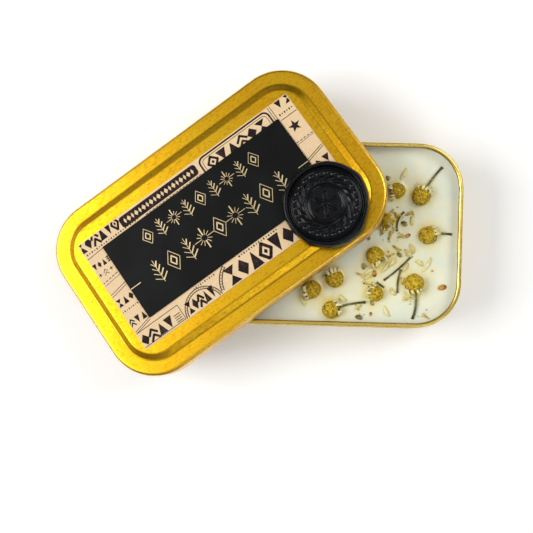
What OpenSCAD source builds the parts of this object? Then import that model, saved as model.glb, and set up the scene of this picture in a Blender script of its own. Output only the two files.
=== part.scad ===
// Rectangular tinplate candle tin. The slip-on lid lies ajar across the open
// base, which holds soy wax topped with dried chamomile. The lid carries a
// printed paper, a foil-stamped card and a stuck-on wax seal.
// Millimetres, +Z up. The origin is the middle of the base's underside.

/* [Lid] */
// Length of the lid over its skirt
lid_l = 108.5; // [90:0.5:132]
// Width of the lid over its skirt
lid_w = 66; // [55:0.5:80]
// Radius of the lid's corners in plan
lid_r = 17; // [13:0.5:21]
// Depth of the lid from its flat border to the foot of the skirt
skirt_h = 9; // [7:0.5:11]
// Radius of the bend between border and skirt
lid_edge_r = 1.2; // [0.6:0.1:1.6]
// Width of the flat border round the raised panel
border_w = 5.2; // [4:0.1:7]
// Width of the slope that leads up to the panel
slope_w = 2.5; // [1.5:0.1:3]
// Height of the panel above the border
panel_h = 1.1; // [0.6:0.1:1.6]
// Diameter of the hem rolled inwards at the foot of the skirt
hem_d = 1; // [0.8:0.05:1.3]

/* [Base] */
// Height of the base from table to rim
base_h = 20; // [17:0.5:26]
// Step from the lid's outside in to the base's outside
base_inset = 0.5; // [0.1:0.1:1]
// Running gap between the lid's hem and the base's neck
fit_gap = 0.4; // [0.2:0.05:0.8]
// Gap between the closed lid's hem and the base's shoulder
shoulder_gap = 0.6; // [0.2:0.1:1.5]
// Outer radius of the bend round the base's underside
foot_r = 2; // [1:0.25:3]
// Outer radius of the bend at the base's shoulder
shoulder_r = 0.6; // [0.5:0.05:0.8]
// Diameter of the curl along the base's rim
curl_d = 1.6; // [1.2:0.1:2]
// Thickness of the tinplate
sheet = 0.3; // [0.2:0.05:0.4]

/* [Lid resting ajar] */
// Turn of the lid, seen from above
lid_yaw = 36.9; // [32:0.1:41]
// Air between the lid's hem and the base's corner that stands inside it
corner_air = 0.1; // [0.05:0.05:1]
// Distance along the lid from its middle to that corner
lid_slip = 3; // [0:0.5:8]
// Air left where the lid bears on the rim
rest_gap = 0.1; // [0.05:0.05:0.3]

/* [Wax and flowers] */
// Depth of the wax surface below the rim
wax_drop = 3.8; // [3:0.1:6]
// Gap by which the wax has shrunk from the walls
wax_gap = 0.08; // [0.05:0.01:0.2]
// Space kept free of flowers along the wall
flower_margin = 1.5; // [1:0.25:4]
// Share of a flower head's diameter by which its middle stands above the wax
head_rise = 0.05; // [0:0.01:0.1]
// Tilt of a lying flower head's axis
head_tilt = 20; // [0:5:35]
// Diameter of a flower stem
stem_d = 0.8; // [0.5:0.1:1.2]
// Thickness of a dried petal
petal_t = 0.35; // [0.2:0.05:0.6]

/* [Paper and card] */
// Distance from the panel's ends to the printed paper
paper_margin_l = 2.9; // [1:0.1:6]
// Distance from the panel's long sides to the printed paper
paper_margin_w = 3.9; // [1:0.1:6]
// Thickness of the printed paper
paper_t = 0.15; // [0.1:0.05:0.3]
// Distance from the paper's ends to the card
card_margin_l = 7; // [3:0.1:12]
// Distance from the paper's long sides to the card, if it were central
card_margin_w = 6.8; // [3:0.1:9]
// Shift of the card towards the lid's upper side
card_shift = 1.2; // [-2:0.1:2]
// Thickness of the card
card_t = 0.35; // [0.2:0.05:0.6]
// Thickness of a layer of glue or tape
glue_t = 0.08; // [0.05:0.01:0.15]
// Thickness of printing ink and of foil
print_t = 0.05; // [0.03:0.01:0.08]

/* [Wax seal] */
// Diameter of the wax seal across its body
seal_d = 29.5; // [24:0.5:36]
// Thickness of the wax seal
seal_t = 3.8; // [3:0.1:5]
// Distance from the seal's edge to the lid's end
seal_end_gap = 6.6; // [3:0.1:12]
// Distance from the seal's edge to the lid's long side
seal_side_gap = 0.7; // [0.2:0.1:4]
// Diameter of the face pressed by the stamp
stamp_d = 25; // [18:0.5:25]
// Depth of the pressed face
stamp_depth = 1.1; // [0.5:0.1:1.5]
// Diameter of the adhesive pad below the seal
pad_d = 18; // [12:1:20]
// Thickness of the adhesive pad below the seal
pad_t = 0.4; // [0.2:0.1:1]

/* [Hidden] */
$fn = 64;

// Radii of the rolled edges, and their slit as shares of the radius
hem_r = hem_d / 2;
curl_r = curl_d / 2;
slit_top = 0.95;
slit_reach = 0.9;
slit_h = 0.45;

// Outside of the base below its shoulder
body_l = lid_l - 2 * base_inset;
body_w = lid_w - 2 * base_inset;
body_r = lid_r - base_inset;
// Step from the base's outside in to its neck, which runs inside the lid's hem
neck_step = hem_d + fit_gap - base_inset;
neck_l = body_l - 2 * neck_step;
neck_w = body_w - 2 * neck_step;
neck_r = body_r - neck_step;
shoulder_z = base_h + sheet - skirt_h - shoulder_gap;
curl_z = base_h - curl_r;

// Panel raised in the lid
panel_inset = border_w + slope_w;
panel_l = lid_l - 2 * panel_inset;
panel_w = lid_w - 2 * panel_inset;
panel_r = lid_r - panel_inset;
// Overlap that joins the panel's plate to its slope
tie = 0.02;

// Middle line of the rim's curl
rim_x = neck_l / 2 - curl_r;
rim_y = neck_w / 2 - curl_r;
rim_r = neck_r - curl_r;

// The base's corner that stands just inside the lid's back side
corner_x = neck_r - neck_l / 2;
corner_y = neck_w / 2 - neck_r;

// The lid's middle in plan, with its hem's foot leaning in by the amount given
function lid_middle(lean) =
    let (up = lid_w / 2 - hem_d - corner_air - lean - neck_r)
    [
        corner_x - lid_slip * cos(lid_yaw) + up * sin(lid_yaw),
        corner_y - lid_slip * sin(lid_yaw) - up * cos(lid_yaw)
    ];

// Where the skirt crosses the rim, on the front side and on the back side
function front_cross(middle) =
    middle.x + (lid_w / 2 - hem_r - (rim_y + middle.y) * cos(lid_yaw)) / sin(lid_yaw);
function back_cross(middle) =
    middle.x + (lid_l / 2 - hem_r - (rim_y - middle.y) * sin(lid_yaw)) / cos(lid_yaw);

// The lid tips about the line through those points until its border meets the rim
function uphill_for(middle) = atan2(front_cross(middle) - back_cross(middle), 2 * rim_y);
function tilt_for(middle) =
    let (
        dir = [cos(uphill_for(middle)), sin(uphill_for(middle))],
        bearing_point = [rim_r - rim_x, rim_y - rim_r] - rim_r * dir,
        arm = ([front_cross(middle), -rim_y] - bearing_point) * dir
    )
    atan((skirt_h - sheet) / arm);

// How far the tilt brings the foot of the back skirt in over the base
function lean_for(middle) =
    let (tilt = tilt_for(middle))
    skirt_h * sin(tilt) * sin(lid_yaw - uphill_for(middle)) + lid_w / 2 * (1 - cos(tilt));

lid_xy = lid_middle(lean_for(lid_middle(lean_for(lid_middle(0)))));
lid_x = lid_xy.x;
lid_y = lid_xy.y;
uphill = uphill_for(lid_xy);
lid_tilt = tilt_for(lid_xy);
tilt_axis = [sin(uphill), -cos(uphill), 0];

// A direction turned by the lid's tilt
function tipped(v) =
    v * cos(lid_tilt)
    + cross(tilt_axis, v) * sin(lid_tilt)
    + tilt_axis * (tilt_axis * v) * (1 - cos(lid_tilt));

lid_ex = tipped([cos(lid_yaw), sin(lid_yaw), 0]);
lid_ey = tipped([-sin(lid_yaw), cos(lid_yaw), 0]);
lid_ez = tipped([0, 0, 1]);

// Distance of a point from a rounded rectangle's outline, negative inside
function outline_distance(p, l, w, r) =
    let (qx = abs(p.x) - l / 2 + r, qy = abs(p.y) - w / 2 + r)
    norm([max(qx, 0), max(qy, 0)]) + min(max(qx, qy), 0) - r;

// Points along the middle line of the rim's curl
rim_step = 2;
rim_points = concat(
    [for (x = [rim_r - rim_x : rim_step : rim_x - rim_r], s = [-1, 1]) [x, s * rim_y, curl_z]],
    [for (y = [rim_r - rim_y : rim_step : rim_y - rim_r], s = [-1, 1]) [s * rim_x, y, curl_z]],
    [for (sx = [-1, 1], sy = [-1, 1], a = [0 : 3 : 90])
        [sx * (rim_x - rim_r + rim_r * cos(a)), sy * (rim_y - rim_r + rim_r * sin(a)), curl_z]]
);

// Depth below the border that the lid reaches down to over a rim point
function lid_reach(distance) =
    distance > curl_r + rest_gap ? -base_h
    : distance > -(hem_d + curl_r + rest_gap) ? skirt_h
    : sheet;

// Height at which the border plane clears one rim point, for a first guess of it
function height_over(p, guess) =
    let (
        offset = p - [lid_x, lid_y, 0],
        from_middle = offset - [0, 0, guess],
        distance = outline_distance([from_middle * lid_ex, from_middle * lid_ey], lid_l, lid_w, lid_r)
    )
    (offset * lid_ez + lid_reach(distance) + curl_r + rest_gap) / lid_ez.z;

function lid_height(guess) = max([for (p = rim_points) height_over(p, guess)]);

lid_z = lid_height(lid_height(base_h + skirt_h / 2));

// Wax and the field in which the flowers lie
wax_z = base_h - wax_drop;
inner_l = neck_l - 2 * sheet;
inner_w = neck_w - 2 * sheet;
inner_r = neck_r - sheet;
field_x = inner_l / 2 - flower_margin;
field_y = inner_w / 2 - flower_margin;
// The flowers are laid out in this field and below this rim, then sized to fit
layout_x = 51.05;
layout_y = 29.8;
layout_drop = 3.8;
flower_fit = min(field_x / layout_x, field_y / layout_y, wax_drop / layout_drop);

// Shares of a head's diameter: how far behind its middle its collar, the cup's
// waist, the cup's back and its stem's start lie, and the radii of the cup
collar_at = 0.22;
waist_at = 0.34;
back_at = 0.46;
stem_at = 0.52;
collar_r = 0.45;
waist_r = 0.40;
back_r = 0.12;
// Whole heads: place along and across the field, diameter, way the dome points
HEADS = [
    [0.60, 0.52, 5.6, 15],
    [0.76, 0.46, 6.6, 240],
    [0.81, 0.01, 6.4, 190],
    [0.46, -0.24, 6.2, 125],
    [0.73, -0.55, 6.6, 100],
    [0.47, -0.68, 5.4, -30],
    [0.19, -0.52, 6.4, -65],
    [0.04, -0.65, 6.4, 15],
    [0.17, -0.88, 6.2, 200],
    [-0.22, 0.30, 6.2, 70],
    [-0.46, -0.34, 6.0, 160],
];
// Which head a stem belongs to, its length and the radius it bends to
STEMS = [[1, 9, 40], [2, 5, 14], [4, 9, 16], [8, 9, 30], [9, 7, 20]];
// The head that is torn open
TORN_PLACE = [0.54, 0.17];
torn_turn = 30;
torn_d = 5.4;
torn_wall = 0.8;
torn_top = 1.6;
torn_side = 0.5;
// Stems without a flower: place, way they point, length, bend radius
LOOSE_STEMS = [
    [0.62, -0.40, 48, 12, 60],
    [0.61, -0.53, -82, 8, 16],
    [0.59, 0.17, -75, 7, 6],
    [0.50, -0.58, -30, 3, 20],
    [-0.10, -0.02, 30, 8, 18],
    [0.05, 0.55, 140, 6, 12],
];
// Thrown petals: place, way they point, length
PETALS = [
    [0.64, 0.72, 65, 4.2],
    [0.81, -0.33, 60, 6.0],
    [0.71, 0.18, 80, 3.4],
    [0.76, -0.32, -30, 3.0],
    [0.71, -0.15, 115, 3.4],
    [0.53, -0.37, 55, 4.4],
    [0.43, -0.42, 30, 4.6],
    [0.67, -0.37, 60, 3.4],
    [0.58, -0.31, 55, 3.8],
    [0.42, -0.50, 25, 3.2],
    [0.55, -0.88, -55, 4.2],
    [0.59, -0.65, -60, 3.0],
    [0.25, -0.74, -35, 3.2],
    [-0.02, -0.79, -55, 3.8],
    [0.12, 0.20, 80, 4.0],
    [-0.30, -0.60, 20, 4.2],
    [-0.05, 0.72, 10, 3.6],
];
petal_w = 1.3;
// Tube florets shaken out of the heads: place, way they point, length
FLORETS = [
    [0.66, 0.24, 20, 2.2],
    [0.60, 0.24, 135, 1.6],
    [0.55, -0.05, 70, 2.4],
    [0.61, -0.02, 10, 2.0],
    [0.58, -0.12, -35, 2.4],
    [0.66, -0.16, -45, 2.0],
    [0.54, -0.26, 30, 2.2],
    [0.39, -0.48, 160, 2.2],
    [0.65, -0.57, 90, 1.8],
    [0.66, -0.74, 10, 2.2],
    [0.79, -0.91, -30, 2.4],
    [0.48, 0.14, 120, 2.6],
    [0.51, 0.01, 110, 2.2],
    [0.34, -0.86, 35, 1.6],
    [0.44, -0.56, 175, 2.0],
    [0.00, 0.38, 40, 2.2],
    [-0.16, -0.25, 100, 2.0],
];
floret_tail_r = 0.35;
floret_mouth_r = 0.65;
// Flakes of green bract: place, turn, size
BRACTS = [
    [0.53, 0.66, 20, 1.6],
    [0.65, 0.13, 60, 2.2],
    [0.38, -0.37, 10, 2.0],
    [0.62, -0.23, 45, 1.8],
    [0.36, -0.97, 70, 2.4],
    [0.44, -0.79, 15, 1.4],
    [0.41, -0.04, 30, 1.6],
    [-0.38, 0.05, 50, 1.8],
];
// A flake is its circle cut by a second one: that one's shift and size as shares
flake_shift = 0.35;
flake_cut = 1.2;
// Seeds and orange crumbs: place, way they point, length
SEEDS = [
    [0.92, -0.59, 15, 2.8],
    [0.68, 0.00, 35, 1.8],
    [0.46, -0.45, 90, 2.2],
    [0.44, -0.92, 80, 1.4],
    [0.85, -0.40, 0, 0.8],
    [-0.12, 0.52, 30, 1.8],
];
// A seed's belly radius as a share of its length, and its belly's share of it
seed_belly = 0.33;
seed_run = 0.3;

// Printed paper and card
paper_l = panel_l - 2 * paper_margin_l;
paper_w = panel_w - 2 * paper_margin_w;
paper_z = panel_h + glue_t;
card_l = paper_l - 2 * card_margin_l;
card_w = paper_w - 2 * card_margin_w;
tape_z = paper_z + paper_t;
card_z = tape_z + glue_t;
card_top = card_z + card_t;
// Tape strips, the printed frame's line and the foil's dashes and rules
tape_w = 6;
tape_inset = 1.5;
rule_w = 0.35;
frame_inset = 1.2;
dash_l = 4.2;
foil_inset = 1.6;
foil_share = 0.5;

// Wax seal
seal_x = lid_l / 2 - seal_end_gap - seal_d / 2;
seal_y = seal_side_gap + seal_d / 2 - lid_w / 2;
seal_z = card_top + pad_t;
seal_edge_r = 1.3;
// Turn, reach beyond the body and diameter of each bulge in the seal's edge
SEAL_BULGES = [
    [20, 0.5, 15],
    [75, 0.3, 13],
    [128, 0.5, 14],
    [196, 0.6, 16],
    [248, 0.3, 12],
    [305, 0.5, 15],
];
ring_count = 3;
ring_w = 0.7;
ring_h = 0.5;
ring_inner_r = 5.6;
ring_pitch = 2.6;

// A rounded rectangle with its middle at the origin
module rounded_outline(l, w, r) {
    square([l - 2 * r, w], center = true);
    square([l, w - 2 * r], center = true);
    for (sx = [-1, 1], sy = [-1, 1])
        translate([sx * (l / 2 - r), sy * (w / 2 - r)])
            circle(r);
}

module rounded_plate(l, w, r, z, t) {
    translate([0, 0, z])
        linear_extrude(t)
            rounded_outline(l, w, r);
}

// Carries a profile round a rounded rectangle. The profile's x is the distance
// outwards from the outline, and its y is the height.
module carried_round(l, w, r) {
    for (q = [0 : 3]) {
        sx = (q == 0 || q == 3) ? 1 : -1;
        sy = q < 2 ? 1 : -1;
        run = q % 2 == 0 ? w - 2 * r : l - 2 * r;
        reach = q % 2 == 0 ? l / 2 : w / 2;
        translate([sx * (l / 2 - r), sy * (w / 2 - r), 0])
            rotate([0, 0, 90 * q])
                rotate_extrude(angle = 90)
                    translate([r, 0])
                        children();
        rotate([0, 0, 90 * q])
            translate([reach, run / 2, 0])
                rotate([90, 0, 0])
                    linear_extrude(run)
                        children();
    }
}

// A quarter of a bent sheet's profile, round the origin, in the quadrant given
module bend_profile(r, sx, sy) {
    intersection() {
        difference() {
            circle(r);
            circle(r - sheet);
        }
        translate([min(sx, 0) * r, min(sy, 0) * r])
            square(r);
    }
}

// A rolled edge's profile, open by a slit on its inner lower side
module curl_profile(r) {
    difference() {
        circle(r);
        circle(r - sheet);
        translate([-r, -slit_top * r])
            square([slit_reach * r, slit_h * r]);
    }
}

module tin_base() {
    neck_x = -neck_step;
    color("goldenrod") {
        carried_round(body_l, body_w, body_r) {
            union() {
                translate([-foot_r, foot_r])
                    bend_profile(foot_r, 1, -1);
                translate([-sheet, foot_r])
                    square([sheet, shoulder_z - shoulder_r - foot_r]);
                translate([-shoulder_r, shoulder_z - shoulder_r])
                    bend_profile(shoulder_r, 1, 1);
                translate([neck_x - sheet, shoulder_z - sheet])
                    square([neck_step + sheet - shoulder_r, sheet]);
                translate([neck_x - sheet, shoulder_z - sheet])
                    square([sheet, curl_z - shoulder_z + sheet]);
                translate([neck_x - curl_r, curl_z])
                    curl_profile(curl_r);
            }
        }
        rounded_plate(body_l - 2 * foot_r, body_w - 2 * foot_r, body_r - foot_r, 0, sheet);
    }
}

module wax_fill() {
    chest_z = shoulder_z - sheet - wax_gap;
    floor_l = body_l - 2 * foot_r;
    floor_w = body_w - 2 * foot_r;
    wall_gap = sheet + wax_gap;
    bend_r = foot_r - wall_gap;
    color("ivory") {
        carried_round(body_l, body_w, body_r)
            translate([-foot_r, foot_r])
                intersection() {
                    circle(bend_r);
                    translate([0, -bend_r])
                        square(bend_r);
                }
        rounded_plate(floor_l, floor_w, body_r - foot_r, sheet, foot_r - sheet);
        rounded_plate(body_l - 2 * wall_gap, body_w - 2 * wall_gap, body_r - wall_gap,
            foot_r, chest_z - foot_r);
        rounded_plate(inner_l - 2 * wax_gap, inner_w - 2 * wax_gap, inner_r - wax_gap,
            chest_z, wax_z - chest_z);
    }
}

// Cuts off what lies below the wax
module above_wax() {
    difference() {
        children();
        translate([-body_l, -body_w, wax_z - base_h])
            cube([2 * body_l, 2 * body_w, base_h]);
    }
}

// Puts a piece on the wax at a place in the field, turned to point along angle
module on_wax(place, angle) {
    translate([0, 0, wax_z])
        scale(flower_fit)
            translate([place.x * layout_x, place.y * layout_y, 0])
                rotate([0, 0, angle])
                    children();
}

// Frame of a lying head: +Z runs out through its dome
module in_head(head) {
    on_wax(head, head[3])
        translate([0, 0, head_rise * head[2]])
            rotate([0, 90 - head_tilt, 0])
                children();
}

module dome(d) {
    intersection() {
        sphere(d / 2);
        translate([0, 0, -collar_at * d])
            cylinder(h = d, r = d);
    }
}

module calyx(d) {
    rotate_extrude()
        polygon([
            [0, -collar_at * d],
            [collar_r * d, -collar_at * d],
            [waist_r * d, -waist_at * d],
            [back_r * d, -back_at * d],
            [0, -back_at * d],
        ]);
}

// A stem in the wax's plane, from the origin along -X, bent towards +Y
module bent_stem(length, bend_r) {
    translate([0, bend_r, 0])
        rotate([0, 0, -90])
            mirror([0, 1, 0])
                rotate_extrude(angle = length / bend_r * 180 / PI)
                    translate([bend_r, 0])
                        circle(d = stem_d);
}

module chamomile_heads() {
    color("goldenrod")
        above_wax()
            for (head = HEADS)
                in_head(head)
                    dome(head[2]);
}

module chamomile_calyxes() {
    color("darkkhaki")
        above_wax()
            for (head = HEADS)
                in_head(head)
                    calyx(head[2]);
}

module chamomile_stems() {
    color("olivedrab")
        above_wax()
            for (stem = STEMS) {
                head = HEADS[stem[0]];
                on_wax(head, head[3])
                    translate([-stem_at * head[2], 0, stem_d / 4])
                        bent_stem(stem[1], stem[2]);
            }
}

// A hollow head, torn open at its top and on one side
module broken_head() {
    color("goldenrod")
        above_wax()
            on_wax(TORN_PLACE, torn_turn)
                difference() {
                    sphere(d = torn_d);
                    sphere(d = torn_d - 2 * torn_wall);
                    translate([0, 0, torn_top])
                        cylinder(h = torn_d, r = torn_d);
                    translate([torn_side, -torn_d, -torn_d])
                        cube([torn_d, torn_d, 2 * torn_d]);
                }
}

module loose_stems() {
    color("darkolivegreen")
        above_wax()
            for (stem = LOOSE_STEMS)
                on_wax(stem, stem[2])
                    translate([stem[3] / 2, 0, stem_d / 4])
                        bent_stem(stem[3], stem[4]);
}

module ray_petals() {
    color("lemonchiffon")
        for (petal = PETALS) {
            length = petal[3];
            side_r = (length * length / petal_w + petal_w) / 4;
            on_wax(petal, petal[2])
                linear_extrude(petal_t)
                    intersection() {
                        translate([0, side_r - petal_w / 2])
                            circle(side_r);
                        translate([0, petal_w / 2 - side_r])
                            circle(side_r);
                    }
        }
}

module disc_florets() {
    color("gold")
        above_wax()
            for (floret = FLORETS)
                on_wax(floret, floret[2])
                    rotate([0, 90, 0]) {
                        cylinder(h = floret[3], r1 = floret_tail_r, r2 = floret_mouth_r);
                        translate([0, 0, floret[3]])
                            sphere(floret_mouth_r);
                    }
}

module bract_flakes() {
    color("olive")
        for (flake = BRACTS)
            on_wax(flake, flake[2])
                linear_extrude(petal_t)
                    intersection() {
                        circle(d = flake[3]);
                        translate([flake_shift * flake[3], 0])
                            circle(d = flake_cut * flake[3]);
                    }
}

// A pointed seed that lies along X
module seed_solid(length) {
    half = length / 2;
    belly_r = seed_belly * length;
    run = seed_run * half;
    rotate([0, 90, 0])
        rotate_extrude()
            polygon([[0, -half], [belly_r, -run], [belly_r, run], [0, half]]);
}

module seeds() {
    color("chocolate")
        above_wax()
            for (seed = SEEDS)
                on_wax(seed, seed[2])
                    seed_solid(seed[3]);
}

// Puts a piece modelled on the flat lid where the tipped lid carries it
module on_lid() {
    translate([lid_x, lid_y, lid_z])
        rotate(a = lid_tilt, v = tilt_axis)
            rotate([0, 0, lid_yaw])
                children();
}

module lid_shell() {
    color("gold")
        on_lid() {
            carried_round(lid_l, lid_w, lid_r) {
                union() {
                    polygon([
                        [-panel_inset - tie, panel_h],
                        [-panel_inset - tie, panel_h - sheet],
                        [-panel_inset, panel_h - sheet],
                        [-border_w, -sheet],
                        [-lid_edge_r, -sheet],
                        [-lid_edge_r, 0],
                        [-border_w, 0],
                        [-panel_inset, panel_h],
                    ]);
                    translate([-lid_edge_r, -lid_edge_r])
                        bend_profile(lid_edge_r, 1, 1);
                    translate([-sheet, hem_r - skirt_h])
                        square([sheet, skirt_h - hem_r - lid_edge_r]);
                    translate([-hem_r, hem_r - skirt_h])
                        curl_profile(hem_r);
                }
            }
            rounded_plate(panel_l, panel_w, panel_r, panel_h - sheet, sheet);
        }
}

module on_lid_sheet(l, w, z, t) {
    on_lid()
        translate([0, 0, z + t / 2])
            cube([l, w, t], center = true);
}

module paper_adhesive() {
    color("whitesmoke")
        on_lid_sheet(paper_l, paper_w, panel_h, glue_t);
}

module ticket_paper() {
    color("burlywood")
        on_lid_sheet(paper_l, paper_w, paper_z, paper_t);
}

// Frame lines printed round the edge of the paper
module ticket_print() {
    frame_l = paper_l - 2 * frame_inset;
    frame_w = paper_w - 2 * frame_inset;
    color("black")
        on_lid()
            difference() {
                translate([0, 0, tape_z])
                    linear_extrude(print_t)
                        difference() {
                            square([frame_l, frame_w], center = true);
                            square([frame_l - 2 * rule_w, frame_w - 2 * rule_w], center = true);
                        }
                translate([seal_x, seal_y, tape_z - print_t])
                    cylinder(h = 3 * print_t, d = pad_d);
            }
}

// Two strips of double-sided tape along the card
module card_adhesive() {
    tape_y = (card_w - tape_w) / 2 - tape_inset;
    color("whitesmoke")
        on_lid()
            for (s = [-1, 1])
                translate([0, card_shift + s * tape_y, tape_z + glue_t / 2])
                    cube([card_l - 2 * tape_inset, tape_w, glue_t], center = true);
}

module black_card() {
    color("black")
        on_lid()
            translate([0, card_shift, card_z + card_t / 2])
                cube([card_l, card_w, card_t], center = true);
}

// Foil: a dash at each end of the card and two rules across its middle
module foil_ornament() {
    color("darkkhaki")
        on_lid()
            translate([0, card_shift, card_top]) {
                for (s = [-1, 1]) {
                    translate([s * (card_l / 2 - dash_l / 2), 0, print_t / 2])
                        cube([dash_l, rule_w, print_t], center = true);
                    translate([0, s * (card_w / 2 - foil_inset - rule_w), print_t / 2])
                        cube([card_l * foil_share, rule_w, print_t], center = true);
                }
            }
}

// A pad under the seal, on the paper and cut round the card
module seal_adhesive() {
    color("whitesmoke")
        on_lid()
            difference() {
                intersection() {
                    translate([seal_x, seal_y, tape_z])
                        cylinder(h = seal_z - tape_z, d = pad_d);
                    translate([-paper_l / 2, -paper_w / 2, tape_z])
                        cube([paper_l, paper_w, seal_z]);
                }
                translate([-card_l / 2, card_shift - card_w / 2, tape_z - glue_t])
                    cube([card_l, card_w, card_top - tape_z + glue_t]);
            }
}

// A disc of poured wax with a rounded edge
module wax_drop_disc(d, h) {
    rotate_extrude() {
        square([d / 2 - seal_edge_r, h]);
        square([d / 2, h - seal_edge_r]);
        translate([d / 2 - seal_edge_r, h - seal_edge_r])
            circle(seal_edge_r);
    }
}

module wax_seal() {
    color("black")
        on_lid()
            translate([seal_x, seal_y, seal_z]) {
                difference() {
                    union() {
                        wax_drop_disc(seal_d, seal_t);
                        for (bulge = SEAL_BULGES)
                            rotate([0, 0, bulge[0]])
                                translate([(seal_d - bulge[2]) / 2 + bulge[1], 0, 0])
                                    wax_drop_disc(bulge[2], seal_t - bulge[1]);
                    }
                    translate([0, 0, seal_t - stamp_depth])
                        cylinder(h = seal_t, d = stamp_d);
                }
                for (i = [0 : ring_count - 1])
                    translate([0, 0, seal_t - stamp_depth])
                        rotate_extrude()
                            translate([ring_inner_r + i * ring_pitch, 0])
                                square([ring_w, ring_h]);
            }
}

tin_base();
wax_fill();
chamomile_heads();
chamomile_calyxes();
chamomile_stems();
broken_head();
loose_stems();
ray_petals();
disc_florets();
bract_flakes();
seeds();
lid_shell();
paper_adhesive();
ticket_paper();
ticket_print();
card_adhesive();
black_card();
foil_ornament();
seal_adhesive();
wax_seal();
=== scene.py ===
import math

import bmesh
import bpy
import numpy as np
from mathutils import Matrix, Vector, kdtree


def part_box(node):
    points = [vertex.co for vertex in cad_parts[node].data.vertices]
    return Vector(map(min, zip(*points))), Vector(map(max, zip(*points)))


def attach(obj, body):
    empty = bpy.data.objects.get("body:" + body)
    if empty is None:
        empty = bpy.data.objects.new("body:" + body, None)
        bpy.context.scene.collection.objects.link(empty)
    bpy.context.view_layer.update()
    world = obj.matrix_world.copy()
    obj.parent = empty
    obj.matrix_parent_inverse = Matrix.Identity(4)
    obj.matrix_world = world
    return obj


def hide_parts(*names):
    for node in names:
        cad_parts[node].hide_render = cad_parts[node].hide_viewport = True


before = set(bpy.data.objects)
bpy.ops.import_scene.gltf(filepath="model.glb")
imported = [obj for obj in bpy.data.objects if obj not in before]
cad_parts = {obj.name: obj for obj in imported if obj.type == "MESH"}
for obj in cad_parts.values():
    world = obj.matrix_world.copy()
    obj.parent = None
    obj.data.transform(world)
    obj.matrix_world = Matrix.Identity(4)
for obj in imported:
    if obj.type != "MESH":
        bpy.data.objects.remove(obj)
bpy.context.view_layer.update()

# All lengths below are in millimetres, unless a name says otherwise.
MM = 0.001
SEED = 7
GOLDEN_ANGLE = math.pi * (3 - math.sqrt(5))

# Lid
LID_R = 17.0
LID_EDGE_R = 1.2
BORDER_W = 5.2
SLOPE_W = 2.5
PANEL_H = 1.1
HEM_R = 0.5
# Base
BODY_R = 16.5
NECK_STEP = 0.9
FOOT_R = 2.0
SHOULDER_R = 0.6
SHOULDER_DROP = 9.3
CURL_R = 0.8
SHEET = 0.3
# Paper, card and seal
PAPER_CORNER_R = 1.2
CARD_CORNER_R = 0.25
STAMP_R = 12.5
# Flowers
HEAD_RISE = 0.05
HEAD_TILT = math.radians(20)
# Finish of the meshes: bends above this angle stay sharp
TIN_SHARP = 38
SHEET_SHARP = 40
PRINT_SHARP = 20
WAX_SHARP = 60
SEAL_SHARP = 70
# Spacing of the points over a sheet, and how far the sheet waves
SHEET_STEP = 0.9
SHEET_WAVE = 0.02
# Camera, above the origin in the row frame
CAMERA_PLACE = (-13.9, -11.9, 293.0)
CAMERA_ROLL = math.radians(1.5)
CAMERA_LENS = 54.03
SENSOR = 36.0

rng = np.random.default_rng(SEED)


# ---------------------------------------------------------------- frames and points

class Place:
    """A frame of its own: an origin and three axes as rows, in millimetres."""

    def __init__(self, origin, axes):
        self.origin = np.array(origin, float)
        self.axes = np.array(axes, float)

    def world(self, points):
        return np.asarray(points, float) @ self.axes + self.origin

    def local(self, points):
        return (np.asarray(points, float) - self.origin) @ self.axes.T


def node_points(node):
    """The points of a CAD node, in millimetres in the row frame."""
    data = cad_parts[node].data
    flat = np.zeros(len(data.vertices) * 3, np.float32)
    data.vertices.foreach_get("co", flat)
    return flat.reshape(-1, 3).astype(float) / MM


def islands(node):
    """The separate solids of a CAD node, each as an array of its points."""
    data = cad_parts[node].data
    points, label = np.unique(np.round(node_points(node), 4), axis=0, return_inverse=True)
    ends = np.zeros(len(data.edges) * 2, np.int32)
    data.edges.foreach_get("vertices", ends)
    ends = label.ravel()[ends].reshape(-1, 2)
    group = np.arange(len(points))
    while True:
        low = np.minimum(group[ends[:, 0]], group[ends[:, 1]])
        joined = group.copy()
        np.minimum.at(joined, ends[:, 0], low)
        np.minimum.at(joined, ends[:, 1], low)
        joined = joined[joined]
        if (joined == group).all():
            break
        group = joined
    return [points[group == g] for g in np.unique(group)]


def plate_frame(node):
    """The frame of a CAD node that is a flat plate: X its length, Z its upward normal."""
    corners = np.unique(np.round(node_points(node), 3), axis=0)
    middle = (corners.max(0) + corners.min(0)) / 2
    axes = np.linalg.svd(corners - corners.mean(0))[2]
    ex = axes[0] * np.sign(axes[0][0])
    ez = axes[2] * np.sign(axes[2][2])
    return Place(middle, [ex, np.cross(ez, ex), ez])


def extent(node, place):
    """The low and high corners of a CAD node in a frame of its own."""
    points = place.local(node_points(node))
    return points.min(0), points.max(0)


def row_box(node):
    """The low and high corners of a CAD node in the row frame, in millimetres."""
    return [np.array(corner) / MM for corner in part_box(node)]


WORLD = Place((0, 0, 0), np.eye(3))
lid = plate_frame("ticket_paper")
lid.origin = lid.world([0, 0, extent("lid_shell", lid)[1][2] - PANEL_H])


# ---------------------------------------------------------------- meshes

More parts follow.
